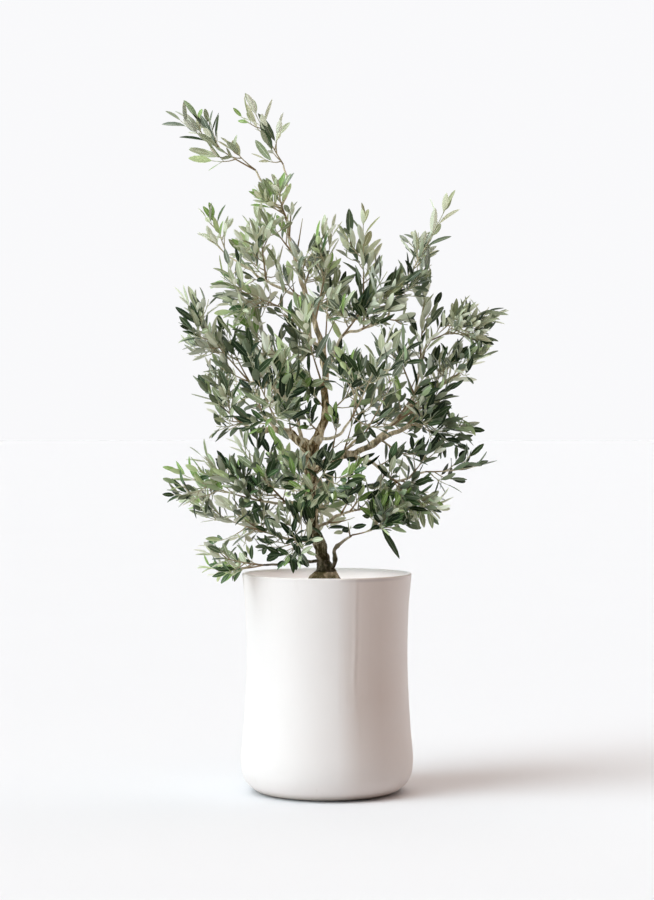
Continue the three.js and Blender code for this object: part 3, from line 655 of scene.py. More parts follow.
def grow_twigs(space):
    """All the twigs of a mass: its stem, its side shoots and their sprigs."""
    seed = space["seed"]
    bare = BARE_SHARE if space["girth"] < WIDE_GIRTH else WIDE_BARE_SHARE
    stem_base = min(STEM_RADIUS, 0.9 * taper(space["limb"], space["share"]))
    twigs = [{"route": space["stem"], "turn": 0, "base": stem_base, "bare": 0.4}]
    wanted = round(SHOOTS_MORE * space["shoots"] * min(1.0, space["girth"] / FULL_GIRTH))
    for number in range(4 * wanted):
        if len(twigs) > wanted:
            break
        route = side_shoot_route(space, number)
        if is_shoot_clear(space, route):
            twigs.append({"route": route, "turn": number + 1, "base": TWIG_RADIUS, "bare": bare})
    for twig in list(twigs[1:]):
        for count, route in enumerate(sprig_routes(space, twig)):
            if is_shoot_clear(space, route):
                turn = twig["turn"] + 100 * (count + 1)
                twigs.append({"route": route, "turn": turn, "base": SPRIG_RADIUS, "bare": bare})
    for twig in twigs:
        twig["shade"] = spray_shade(space, twig["route"].at(1.0), chance(seed, 900 + twig["turn"]))
    return twigs


def spray_shade(space, tip, roll):
    """Sprays are lighter towards the crown's top and outer edge and darker towards its foot: partly the
    leaves' own shades, partly painted light and shade.
    """
    height = (tip[2] - POT_HEIGHT) / (CROWN_TOP - POT_HEIGHT)
    outward = math.hypot(tip[0], tip[1]) / CROWN_REACH
    if chance(space["seed"] + 0.37, roll * 50) < YOUNG_SHARE:
        return "young"
    fifth = int(height * 5 + 0.8 * (chance(space["seed"], roll * 31) - 0.5))
    order = SHADES_BY_HEIGHT[min(4, max(0, fifth))]
    # Outer sprays are painted lighter, and the mass's tone adds painted light and shade.
    light = 0.9 * roll + 0.25 * (outward - 0.5)
    rank = int(light * 6 + space["tone"] - 0.05)
    return order[min(5, max(0, rank))]


def leaf_shade(shade, level, roll):
    """Leaves are often lighter than their spray towards its tip, and darker towards its base."""
    darker, lighter = DARKER_AND_LIGHTER[shade]
    if roll < 0.5 * level:
        return lighter
    if roll > 1 - 0.5 * (1 - level):
        return darker
    return shade


def is_in_open_space(points):
    """Whether any of the points lies in a box that is kept open."""
    return any(((points > low) & (points < high)).all(-1).any() for low, high in OPEN_SPACES)


def try_leaf(space, taken, twig, at, direction, face_up, length):
    """A leaf is kept if it stays in its mass's space, off the limbs and off other leaves."""
    length = min(length, room_from(space, at, direction, 4.0, 60.0) - STALK_LENGTH)
    if length < LEAF_LENGTH * SHORTEST_LEAF:
        return None
    root = at + direction * STALK_LENGTH
    tip = root + direction * length
    if not is_clear(space, root, tip, LEAF_WIDTH / 2):
        return None
    if is_in_open_space(np.array((root, (root + tip) / 2, tip))):
        return None
    if taken["count"]:
        points = taken["points"][: taken["count"]]
        owners = taken["owners"][: taken["count"]]
        gaps = bar_gaps(points, root + 0.3 * (tip - root), tip)
        if ((gaps < LEAF_GAP) & (owners != twig["mark"])).any():
            return None
    for share in (0.4, 0.6, 0.8, 1.0):
        mark_taken(taken, root + (tip - root) * share, -1)
    return {"root": root, "way": direction, "up": face_up, "length": length, "from": at}


def leaf_size(at):
    return LEAF_LENGTH * float(np.interp(at[2], LEAF_HEIGHTS, LEAF_SIZES))


def face_of(at, way, heading, roll):
    """A leaf turns its face to the tip of its twig and the sky, and low down outward to the light."""
    outward = np.array((at[0], at[1], 0)) / max(1.0, math.hypot(at[0], at[1]))
    low = float(np.interp(at[2], LIGHT_HEIGHTS, LIGHT_SHARES))
    wish = heading * (1 - 0.4 * low) + outward * low + upward(0.5)
    face_up = unit(wish - way * (wish @ way))
    return face_up * math.cos(roll) + np.cross(way, face_up) * math.sin(roll)


def mark_taken(taken, point, owner):
    taken["points"][taken["count"]] = point
    taken["owners"][taken["count"]] = owner
    taken["count"] += 1


def leaf_twig(space, taken, twig, leaves):
    """Leaves in opposite pairs, each pair turned a quarter from the last, and one at the twig's end."""
    route, bare, seed = twig["route"], twig["bare"], space["seed"]
    spacing = PAIR_SPACING * leaf_size(route.at(1.0)) / LEAF_LENGTH
    pairs = max(1, round(route.length * (1 - bare) / spacing))
    for pair in range(pairs):
        for half in (0, 1):
            count = twig["turn"] * 50 + pair * 2 + half
            level = (pair + 0.4 + 0.12 * half) / pairs
            share = bare + (1 - bare) * level
            at, heading = route.at(share), route.heading(share)
            angle = LEAF_ANGLE - 0.16 * level + 0.4 * (chance(seed, count) - 0.5)
            first = twig["turn"] + (pair + 2 * half) * (math.pi / 2) + 0.5 * chance(seed, count + 0.3)
            roll = 1.5 * (chance(seed, count + 0.6) - 0.5)
            length = leaf_size(at) * (0.8 + 0.4 * chance(seed, count + 0.8) - 0.22 * level**2)
            for swing, wider in LEAF_TRIES:
                way = heading * math.cos(angle + wider)
                way = way + across_direction(heading, first + swing) * math.sin(angle + wider)
                way = unit(way + upward(LEAF_LIFT))
                face_up = face_of(at, way, heading, roll)
                leaf = try_leaf(space, taken, twig, at, way, face_up, length)
                if leaf:
                    leaf["shade"] = leaf_shade(twig["shade"], level, chance(seed, count + 0.45))
                    leaf["seed"] = seed * 7.3 + count * 0.11
                    leaves.append(leaf)
                    break
    end_way = route.heading(1.0)
    face_up = across_direction(end_way, math.pi * chance(seed, twig["turn"]))
    length = leaf_size(route.at(1.0)) * END_LEAF_SIZE
    leaf = try_leaf(space, taken, twig, route.at(0.99), end_way, face_up, length)
    if leaf:
        leaf["shade"], leaf["seed"] = twig["shade"], seed * 7.3 + twig["turn"]
        leaves.append(leaf)


def grow_crown(limbs):
    """Grows every mass and gives the twigs and the leaves of the whole crown."""
    spaces = [space_of(row, limbs, seed + 1) for seed, row in enumerate(MASSES)]
    inner = [space_of(row, limbs, seed + 101) for seed, row in enumerate(INNER_SPRAYS)]
    points, radii, owners = [], [], []
    for limb in limbs.values():
        shares = np.linspace(0, 1, round(limb["route"].length / 8) + 1)
        flare = [flare_at(limb, share) for share in shares]
        points.append(limb["route"].at(shares))
        radii.append([taper(limb, share) + more for share, more in zip(shares, flare)])
        owners.append([limb["name"]] * len(shares))
    for space in spaces + inner:
        space["stem"] = stem_route(space)
        points.append(space["stem"].at(np.linspace(0, 1, 15)))
        radii.append([STEM_RADIUS] * 15)
        owners.append([space["name"]] * 15)
    points, radii, owners = np.concatenate(points), np.concatenate(radii), np.concatenate(owners)
    taken = {"points": np.zeros((60000, 3)), "owners": np.zeros(60000, int), "count": 0}
    twigs, leaves = [], []
    for number, space in enumerate(spaces + inner):
        others = [other for other in spaces if other is not space] if number < len(spaces) else []
        walls = [wall_between(space, other) for other in others]
        space["normals"] = np.array([normal for normal, _ in walls]).reshape(-1, 3)
        space["offsets"] = np.array([offset for _, offset in walls])
        foreign = owners != space["name"]
        space["guard_points"], space["guard_radii"] = points[foreign], radii[foreign]
        for twig in grow_twigs(space):
            twig["mark"] = len(twigs)
            twigs.append(dict(twig, space=space))
            for share in np.arange(0.3, 1.01, max(0.1, 6 / twig["route"].length)):
                mark_taken(taken, twig["route"].at(share), twig["mark"])
    for twig in twigs:
        leaf_twig(twig["space"], taken, twig, leaves)
    leaves.append(hanging_leaf(twigs))
    return twigs, leaves


def hanging_leaf(twigs):
    """The long dark leaf that hangs alone below the low leaves on the right."""
    root, tip = np.array(HANGING_ROOT), np.array(HANGING_TIP)
    points = np.concatenate([twig["route"].at(np.linspace(0.5, 1, 6)) for twig in twigs])
    at = points[np.argmin(np.linalg.norm(points - root, axis=1))]
    way, length = unit(tip - root), float(np.linalg.norm(tip - root))
    up = unit(np.cross(way, np.cross(HANGING_FACE, way)))
    leaf = {"root": at + way * STALK_LENGTH, "way": way, "up": up, "length": length, "from": at}
    return dict(leaf, shade="dark", seed=HANGING_SEED)


# Mesh making


def put(name, data):
    """A new object in the scene."""
    thing = bpy.data.objects.new(name, data)
    bpy.context.scene.collection.objects.link(thing)
    return thing


def mesh_of(name, bm):
    """The mesh of a finished bmesh."""
    mesh = bpy.data.meshes.new(name)
    bm.to_mesh(mesh)
    bm.free()
    return mesh


def finish_piece(name, mesh, nodes, materials):
    """Adds a piece that rides with the plant and stands for the named solids."""
    piece = put(name, mesh)
    for material in materials:
        mesh.materials.append(material)
    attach(piece, "root")
    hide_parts(*nodes)


def mesh_from_arrays(name, points, faces, kinds):
    """A mesh of many small closed shapes, joined, from points in mm and each face's corners and kind."""
    mesh = bpy.data.meshes.new(name)
    sizes = np.array([len(face) for face in faces])
    mesh.vertices.add(len(points))
    mesh.vertices.foreach_set("co", (np.asarray(points) * MM).ravel())
    mesh.loops.add(int(sizes.sum()))
    mesh.loops.foreach_set("vertex_index", np.concatenate(faces))
    mesh.polygons.add(len(faces))
    mesh.polygons.foreach_set("loop_start", np.concatenate([[0], np.cumsum(sizes)[:-1]]))
    mesh.polygons.foreach_set("use_smooth", np.ones(len(faces), bool))
    mesh.polygons.foreach_set("material_index", kinds)
    mesh.update(calc_edges=True)
    mesh.validate()
    return mesh


def frames_along(route, shares):
    """Positions along a route, with two directions across it that turn with it and never flip."""
    centres = route.at(shares)
    ahead = unit(route.heading(float(shares[0])))
    side = unit(across_direction(ahead, 0.0))
    rows = []
    for centre, share in zip(centres, shares):
        ahead = route.heading(float(share))
        side = unit(side - ahead * (side @ ahead))
        rows.append((centre, side, np.cross(ahead, side)))
    return rows


# Limbs


def flare_at(limb, share):
    if limb["name"] != "trunk":
        return 0.0
    height = limb["route"].at(share)[2] - SOIL_TOP_HEIGHT
    return FLARE_RADIUS * min(1.0, max(0.0, 1 - height / FLARE_HEIGHT)) ** FLARE_POWER


# Knots where limbs were cut back: the limb, the share along it, how far it swells, how far it spreads.
KNOTS = (
    ("trunk", 0.1, 3.5, 9),
    ("trunk", 0.3, 1.5, 10),
    ("trunk", 0.6, 2.6, 12),
    ("trunk", 0.84, 4.5, 14),
    ("trunk", 0.97, 5.5, 13),
    ("leader", 0.03, 3.0, 12),
    ("leader", 0.3, 1.8, 9),
    ("leader", 0.5, 1.4, 8),
    ("leader", 0.72, 1.2, 6),
    ("left_arm", 0.1, 4.5, 14),
    ("left_arm", 0.38, 2.4, 9),
    ("left_arm", 0.7, 1.5, 7),
    ("right_arm", 0.06, 3.0, 12),
    ("right_arm", 0.36, 1.8, 9),
    ("right_arm", 0.62, 2.2, 8),
    ("foot_twig", 0.1, 1.6, 6),
    ("foot_twig", 0.36, 1.6, 4),
    ("foot_twig", 0.62, 1.8, 3),
)


def knot_swelling(limb, along, angle):
    total = 0.0
    for name, share, size, spread in KNOTS:
        if name == limb["name"]:
            gap = (along - share * limb["route"].length) / spread
            side = 0.6 + 0.9 * waver(math.cos(angle) * 1.3, math.sin(angle) * 1.3, share * 40)
            total += size * side * math.exp(-gap * gap)
    return total


def limb_radius(limb, share, angle):
    """The limb's radius with its root lobes, bark ridges and knots."""
    base, along = taper(limb, share), share * limb["route"].length
    cos, sin = math.cos(angle), math.sin(angle)
    lobes = 1 + LOBE_DEPTH * math.cos(FLARE_LOBES * angle + 0.6 + 1.4 * cos)
    drift = 0.9 * waver(along / 24, limb["base"], 3.7)
    ridge = math.cos(RIDGE_COUNT * (angle + drift))
    broken = 0.5 + 0.5 * waver(along / 7, angle * 1.4, limb["base"])
    grain = waver(along / 3.2, cos * 2, sin * 2)
    old = min(1.0, max(0.15, (base - 1.6) / 7))
    swelling = SWELLING_DEPTH * waver(along / 26, limb["base"] * 2.1, cos)
    relief = RIDGE_DEPTH * old * (0.55 * ridge * broken + 0.7 * grain)
    low = 0.0
    if limb["name"] == "trunk":
        low = WRINKLE_DEPTH * waver(along / 2.6, cos * 0.8, sin * 0.8) * max(0.3, 1 - along / 110)
        low += BURL_DEPTH * waver(along / 8, cos * 1.7, sin * 1.7 + 5) * max(0.0, 1 - along / 80)
    grown = base * (1 + relief + swelling) + flare_at(limb, share) * lobes
    return max(0.7 * base, grown + low + knot_swelling(limb, along, angle))


def limb_mesh(limb):
    """One limb, drawn out ring by ring along its route and closed at both ends."""
    route = limb["route"]
    sides, spacing = (32, 1.8) if limb["base"] > THICK_BASE else (14, 3.0)
    shares = np.linspace(0, 1, max(6, round(route.length / spacing)) + 1)
    bm = bmesh.new()
    ring = bmesh.ops.create_circle(bm, cap_ends=True, segments=sides, radius=1)["verts"]
    edges = list(bm.edges)
    angles = [2 * math.pi * corner / sides for corner in range(sides)]
    rows = frames_along(route, shares)
    for row, (share, (centre, side, other)) in enumerate(zip(shares, rows)):
        if row:
            grown = bmesh.ops.extrude_edge_only(bm, edges=edges)["geom"]
            edges = [item for item in grown if isinstance(item, bmesh.types.BMEdge)]
            fresh = {item for item in grown if isinstance(item, bmesh.types.BMVert)}
            edges = [edge for edge in edges if set(edge.verts) <= fresh]
            ring = ring_after(ring, fresh)
        for vertex, angle in zip(ring, angles):
            radius = limb_radius(limb, share, angle)
            point = centre + radius * (side * math.cos(angle) + other * math.sin(angle))
            vertex.co = Vector(point * MM)
    bmesh.ops.contextual_create(bm, geom=edges)
    bmesh.ops.recalc_face_normals(bm, faces=bm.faces)
    return mesh_of("limb", bm)


def ring_after(ring, fresh):
    """The new ring's corners in the order of the ring that they were drawn from."""
    return [next(e.other_vert(v) for e in v.link_edges if e.other_vert(v) in fresh) for v in ring]


def wood_piece(limbs):
    """Trunk and boughs grown into one another, with bark relief, cut flat at the soil."""
    whole = bmesh.new()
    for limb in limbs.values():
        part = limb_mesh(limb)
        whole.from_mesh(part)
        bpy.data.meshes.remove(part)
    cut = bmesh.ops.bisect_plane(
        whole,
        geom=whole.verts[:] + whole.edges[:] + whole.faces[:],
        plane_co=(0, 0, (TRUNK_FOOT - 3) * MM),
        plane_no=(0, 0, 1),
        clear_inner=True,
    )
    rim = [item for item in cut["geom_cut"] if isinstance(item, bmesh.types.BMEdge)]
    bmesh.ops.holes_fill(whole, edges=rim, sides=0)
    rough = put("wood_rough", mesh_of("wood_rough", whole))
    grow = rough.modifiers.new("grow_together", "REMESH")
    grow.mode = "VOXEL"
    grow.voxel_size = BARK_VOXEL * MM
    grow.use_smooth_shade = True
    bpy.context.view_layer.update()
    grown = bpy.data.meshes.new_from_object(rough.evaluated_get(bpy.context.evaluated_depsgraph_get()))
    bpy.data.objects.remove(rough)
    bm = bmesh.new()
    bm.from_mesh(grown)
    bmesh.ops.smooth_vert(bm, verts=bm.verts, factor=0.5, use_axis_x=True, use_axis_y=True, use_axis_z=True)
    bm.to_mesh(grown)
    bm.free()
    grown.name = "wood"
    mark_youth(grown, limbs)
    finish_piece("wood", grown, list(limbs), [bark_material()])


def mark_youth(mesh, limbs):
    """Tells each point of the wood how thin its limb is: 0 on the trunk, 1 on the thinnest bough."""
    marks = []
    for limb in limbs.values():
        for share in np.linspace(0, 1, round(limb["route"].length / 5) + 1):
            marks.append((limb["route"].at(share), taper(limb, share)))
    tree = kdtree.KDTree(len(marks))
    for number, (point, _) in enumerate(marks):
        tree.insert(Vector(point * MM), number)
    tree.balance()
    radii = np.array([marks[tree.find(vertex.co)[1]][1] for vertex in mesh.vertices])
    youth = mesh.attributes.new("youth", "FLOAT", "POINT")
    youth.data.foreach_set("value", np.clip((OLD_RADIUS - radii) / (OLD_RADIUS - YOUNG_RADIUS), 0, 1))


# Twigs and leaves


def twig_shapes(twigs, leaves):
    """Thin tapering bars for the twigs and short stalks for the leaves, each part of its own age."""
    points, faces, ages = [], [], []
    for twig in twigs:
        route = twig["route"]
        shares = np.linspace(0, 1, max(3, round(route.length / 12)) + 1)
        radii = twig["base"] + (TWIG_END_RADIUS - twig["base"]) * shares**0.8
        add_bar(points, faces, frames_along(route, shares), radii, TWIG_SIDES)
        ages += [age_of(radius) for radius in radii[:-1] for _ in range(TWIG_SIDES)]
        ages += [age_of(radii[0]), age_of(radii[-1])]
    for leaf in leaves:
        side = unit(np.cross(leaf["way"], leaf["up"]))
        end = leaf["root"] + leaf["way"] * 1.2
        rows = [(centre, side, leaf["up"]) for centre in (leaf["from"], end)]
        add_bar(points, faces, rows, (STALK_RADIUS, STALK_RADIUS * 0.8), STALK_SIDES)
        ages += [age_of(STALK_RADIUS)] * (STALK_SIDES + 2)
    return points, faces, ages


def age_of(radius):
    """The row of TWIG_TONES: thick twigs are brown, thinner ones tan, and the thinnest still green."""
    return 0 if radius > BROWN_RADIUS else 1 if radius > TAN_RADIUS else 2


def add_bar(points, faces, rows, radii, sides):
    """A closed bar of rings, its corners given round each row's two directions."""
    first = len(points)
    for (centre, side, other), radius in zip(rows, radii):
        for corner in range(sides):
            angle = 2 * math.pi * corner / sides
            points.append(centre + radius * (side * math.cos(angle) + other * math.sin(angle)))
    for ring in range(len(rows) - 1):
        low = first + ring * sides
        for corner in range(sides):
            step = (corner + 1) % sides
            faces.append((low + corner, low + step, low + sides + step, low + sides + corner))
    last = first + (len(rows) - 1) * sides
    faces.append(tuple(first + corner for corner in reversed(range(sides))))
    faces.append(tuple(last + corner for corner in range(sides)))


# Sections of a leaf blade: the share of its length, and the share of its width there.
BLADE_SECTIONS = ((0.08, 0.36), (0.27, 0.84), (0.5, 1.0), (0.76, 0.8), (0.93, 0.36))


def blade_faces():
    """Corners of one leaf blade: face and back meet in its outline. Point 0 is the root, 1 the tip.

    The pale rib that runs along the face goes with the back.
    """
    face, back = [], []
    last = len(BLADE_SECTIONS) - 1
    for row in range(last):
        left, rib, ridge, right, under = (2 + row * 5 + i for i in range(5))
        face += [(left, rib, rib + 5, left + 5), (ridge, right, right + 5, ridge + 5)]
        back += [(left + 5, under + 5, under, left), (under + 5, right + 5, right, under)]
        back.append((rib, ridge, ridge + 5, rib + 5))
    left, rib, ridge, right, under = (2 + i for i in range(5))
    face += [(0, rib, left), (0, right, ridge)]
    back += [(0, left, under), (0, under, right), (0, ridge, rib)]
    left, rib, ridge, right, under = (2 + last * 5 + i for i in range(5))
    face += [(1, left, rib), (1, ridge, right)]
    back += [(1, under, left), (1, right, under), (1, rib, ridge)]
    return face, back


def blade_points(leaf):
    """A narrow pointed blade, folded a little along its rib, curled along its length and twisted."""
    way, up, length = leaf["way"], leaf["up"], leaf["length"]
    side = unit(np.cross(way, up))
    up = unit(np.cross(side, way))
    seed = leaf["seed"]
    width = LEAF_WIDTH * (0.4 + 0.6 * length / LEAF_LENGTH) * (0.86 + 0.3 * chance(seed, 1))
    fold = 0.12 + 0.34 * chance(seed, 2)
    curl = length * (-0.06 + 0.2 * chance(seed, 3))
    twist = 0.7 * (chance(seed, 4) - 0.5)
    sway = length * 0.12 * (chance(seed, 5) - 0.5)
    points = [leaf["root"], leaf["root"] + way * length - up * curl + side * sway]
    for share, wide in BLADE_SECTIONS:
        centre = leaf["root"] + way * (length * share) - up * (curl * share**2)
        centre = centre + side * (sway * share**2)
        across = side * math.cos(twist * share) + up * math.sin(twist * share)
        rise = unit(np.cross(across, way))
        half = width * wide / 2
        lift = rise * (half * math.sin(fold))
        out = across * (half * math.cos(fold))
        thick = rise * (LEAF_THICKNESS / 2)
        rib = across * (RIB_WIDTH / 2 * wide)
        points += [centre - out + lift, centre - rib + thick, centre + rib + thick, centre + out + lift]
        points.append(centre - rise * (LEAF_THICKNESS / 2 + RIB_DEPTH * wide * 0.5))
    return points


def leaf_pieces(leaves, mass_nodes):
    face, back = blade_faces()
    for shade, (face_colour, back_colour) in LEAF_SHADES.items():
        own = [leaf for leaf in leaves if leaf["shade"] == shade]
        if not own:
            continue
        points, faces, kinds = [], [], []
        for leaf in own:
            first = len(points)
            points += blade_points(leaf)
            faces += [tuple(first + corner for corner in corners) for corners in face + back]
            kinds += [0] * len(face) + [1] * len(back)
        name = "leaves_" + shade
        mesh = mesh_from_arrays(name, points, faces, kinds)
        mesh.set_sharp_from_angle(angle=math.radians(RIB_ANGLE))
        materials = [leaf_face_material(shade, face_colour), leaf_back_material(shade, back_colour)]
        finish_piece(name, mesh, mass_nodes, materials)


# Planter


def outer_radius(height):
    """The planter's wall: a full belly, a slim waist and a rim that opens a little."""
    marks = (
        (CORNER_RADIUS, BELLY_RADIUS - 0.6),
        (BELLY_HEIGHT, BELLY_RADIUS),
        (118, (BELLY_RADIUS + WAIST_RADIUS) / 2 - 0.5),
        (WAIST_HEIGHT, WAIST_RADIUS),
        (NECK_HEIGHT, NECK_RADIUS),
        (POT_HEIGHT, RIM_RADIUS),
    )
    route = smooth_route([(*mark, 0) for mark in marks])
    return float(np.interp(height, route.points[:, 0], route.points[:, 1]))


def corner_radius(height, inset):
    reach, drop = CORNER_RADIUS - inset, max(0.0, CORNER_RADIUS - height)
    return FOOT_RADIUS - 0.6 + math.sqrt(max(0.0, reach * reach - drop * drop))


def inner_radius(height):
    if height < CORNER_RADIUS:
        return corner_radius(height, WALL_THICKNESS)
    lip = max(0.0, (height - NECK_HEIGHT) / (POT_HEIGHT - NECK_HEIGHT))
    return outer_radius(height) - WALL_THICKNESS + (WALL_THICKNESS - LIP_THICKNESS) * lip


def pot_profile():
    """The planter's section from the middle of its base, out and up, over the lip and down inside."""
    outline = [(0, 0), (40, 0), (80, 0), (FOOT_RADIUS - 3, 0), (FOOT_RADIUS, 0.15)]
    outline += [(corner_radius(h, 0), h) for h in (0.8, 2.2, 4.5, 8, 12, 17, 23, 30, 36)]
    outline += [(outer_radius(h), h) for h in np.linspace(CORNER_RADIUS, POT_HEIGHT - 2.4, 46)]
    rim, lip = RIM_RADIUS - LIP_THICKNESS / 2, LIP_THICKNESS / 2
    outline += [
        (rim + lip * math.cos(angle), POT_HEIGHT - lip + lip * math.sin(angle))
        for angle in np.linspace(0.25, math.pi - 0.25, 9)
    ]
    outline += [(inner_radius(h), h) for h in np.linspace(POT_HEIGHT - 4, SOIL_EDGE_HEIGHT - 20, 12)]
    outline += [(inner_radius(h), h) for h in (240, 160, 80, 42, 22, 14)]
    return outline + [(0, 14)]


def turned(outline, turns):
    """A shape turned about +Z from its section."""
    bm = bmesh.new()
    verts = [bm.verts.new((radius * MM, 0, height * MM)) for radius, height in outline]
    edges = [bm.edges.new(pair) for pair in zip(verts, verts[1:])]
    bmesh.ops.spin(
        bm,
        geom=verts + edges,
        cent=(0, 0, 0),
        axis=(0, 0, 1),
        angle=2 * math.pi,
        steps=turns,
        use_merge=True,
    )
    bmesh.ops.remove_doubles(bm, verts=bm.verts, dist=0.01 * MM)
    bmesh.ops.recalc_face_normals(bm, faces=bm.faces)
    for face in bm.faces:
        face.smooth = True
    return bm


def pot_piece():
    bm = turned(pot_profile(), POT_TURNS)
    for vertex in bm.verts:
        x, y, z = vertex.co / MM
        reach = math.hypot(x, y)
        if reach < FOOT_RADIUS or z < 1:
            continue
        out = Vector((x / reach, y / reach, 0))
        hand = 0.55 * noise.noise(Vector((x, y, z * 0.7)) / 90)
        hand += 0.16 * noise.noise(Vector((x, y, z * 2.2)) / 22)
        vertex.co += out * ((hand + crease_at(math.atan2(x, -y), z)) * MM)
    for face in bm.faces:
        face.material_index = int(face.normal.xy.dot(face.calc_center_median().xy) < 0)
    finishes = [plaster_material(), inside_material()]
    finish_piece("planter", mesh_of("planter", bm), ["pot"], finishes)


# Shallow upright runs in the planter's skin: angle from the front, how far up they start, how deep.
RUNS = (
    (0.335, 352, 1.3),
    (0.375, 352, -0.8),
    (0.52, 300, 0.25),
    (-0.62, 250, 0.25),
    (2.5, 330, 0.6),
    (-2.2, 300, -0.4),
)
RUN_WIDTH = 0.024
RUN_FADE_HEIGHT = 120


def crease_at(angle, height):
    """How far the planter's skin stands out along its upright runs, lumpy as dried drips are."""
    total = 0.0
    for place, top, depth in RUNS:
        wander = place + 0.016 * waver(height / 46, place, 0)
        gap = (angle - wander) / RUN_WIDTH
        fade = min(1.0, max(0.0, (top - height) / 12))
        fade *= min(1.0, max(0.0, (height - RUN_FADE_HEIGHT) / RUN_FADE_HEIGHT))
        lumps = 0.55 + 1.4 * waver(height / 8, place * 7, 3)
        total += depth * fade * max(0.1, lumps) * math.exp(-gap * gap)
    return total


def soil_piece():
    """The soil's crumbly top, domed towards the trunk, with its side down inside the planter."""
    edge = inner_radius(SOIL_EDGE_HEIGHT) - SOIL_GAP
    outline = [(0, 300), (edge * 0.5, 300), (edge - 4, 300), (edge - 1, 310)]
    outline += [(edge, SOIL_EDGE_HEIGHT - 2)]
    for radius in np.linspace(edge - 2, SOIL_FLAT_RADIUS, 46):
        outline.append((radius, soil_height(radius)))
    outline += [(radius, SOIL_TOP_HEIGHT) for radius in np.linspace(SOIL_FLAT_RADIUS - 2, 1.5, 24)]
    outline.append((0, SOIL_TOP_HEIGHT))
    bm = turned(outline, SOIL_TURNS)
    for vertex in bm.verts:
        x, y, z = vertex.co / MM
        if z > SOIL_EDGE_HEIGHT - 6:
            place = Vector((x, y, 0))
            rough = sum(height * noise.noise(place / size) for height, size in SOIL_CRUMBS)
            vertex.co.z += min(HIGHEST_CRUMB, rough) * MM
    finish_piece("soil_top", mesh_of("soil_top", bm), ["soil"], [soil_material()])


def soil_height(radius):
    marks = ((SOIL_FLAT_RADIUS, SOIL_TOP_HEIGHT), (66, SOIL_EDGE_HEIGHT + 9), (96, SOIL_EDGE_HEIGHT + 4))
    marks += ((inner_radius(SOIL_EDGE_HEIGHT), SOIL_EDGE_HEIGHT),)
    return float(np.interp(radius, [mark[0] for mark in marks], [mark[1] for mark in marks]))


# Finishes

BLACK = (0, 0, 0)
WHITE = (1, 1, 1)

# Ramps of linear colour: each stop's value from 0 to 1, and its colour.
OLD_BARK = ((0.39, (0.026, 0.017, 0.006)), (0.49, (0.1, 0.066, 0.028)), (0.59, (0.8, 0.66, 0.45)))
YOUNG_BARK = ((0.39, (0.06, 0.038, 0.014)), (0.49, (0.3, 0.195, 0.09)), (0.58, (0.9, 0.73, 0.5)))
OUTSIDE_CHALK = ((0.3, (0.8, 0.725, 0.69)), (0.7, (0.84, 0.765, 0.73)))
# A lighter copy of the chalk for the inside: painted light where the room's light falls in.
PAINTED_LIGHT_INSIDE_CHALK = ((0.3, (0.93, 0.9, 0.89)), (0.7, (0.96, 0.94, 0.93)))
SOIL_TONES = ((0.35, (0.012, 0.009, 0.006)), (0.55, (0.05, 0.034, 0.02)), (0.7, (0.14, 0.1, 0.065)))
FLOOR_TONES = ((0.3, (0.808, 0.799, 0.808)), (0.7, (0.812, 0.803, 0.812)))
SIDE_SHADE_CLOUDS = ((0.2, (0.7, 0.7, 0.7)), (0.8, WHITE))

THIN_BARK_COLOUR = (0.92, 0.8, 0.6)
LICHEN_COLOUR = (0.34, 0.32, 0.21)
BARK_MOSS_COLOUR = (0.055, 0.053, 0.008)
# Painted shade: the dark colour the trunk's foot takes just above the soil.
TRUNK_FOOT_SHADE_COLOUR = (0.02, 0.015, 0.005)
SOIL_MOSS_COLOUR = (0.06, 0.075, 0.022)
RUN_COLOUR = (0.62, 0.54, 0.48)
# Painted shade: the warm, darker colour laid on the planter's shaded right side.
SIDE_SHADE_COLOUR = (0.66, 0.545, 0.49)
# Painted shadow: the dark line just under the planter's lip.
LIP_SHADOW_COLOUR = (0.4, 0.33, 0.32)
# Painted contact shade at the planter's foot.
FOOT_CONTACT_SHADE_COLOUR = (0.36, 0.24, 0.15)

# Heights in metres between which a finish changes.
YOUNG_BARK_HEIGHTS = (0.46, 0.58)
BARK_MOSS_HEIGHTS = (0.36, 0.47)
# The next four are heights of painted shade: the trunk's dark foot, the planter's shaded side, the shadow
# under its lip and its contact shade at the floor.
TRUNK_FOOT_SHADE_HEIGHTS = (0.346, 0.45)
SIDE_SHADE_HEIGHTS = (0.02, 0.16)
LIP_SHADOW_BEGINS = (0.3425, 0.3455)
LIP_SHADOW_ENDS = (0.347, 0.3485)
FOOT_CONTACT_SHADE_HEIGHTS = (0.0, 0.014)

# Angles round the planter between which the painted shade on its shaded side, beside the drip, begins and
# ends.
SIDE_SHADE_BEGINS = (0.12, 0.4)
SIDE_SHADE_ENDS = (0.7, 1.3)


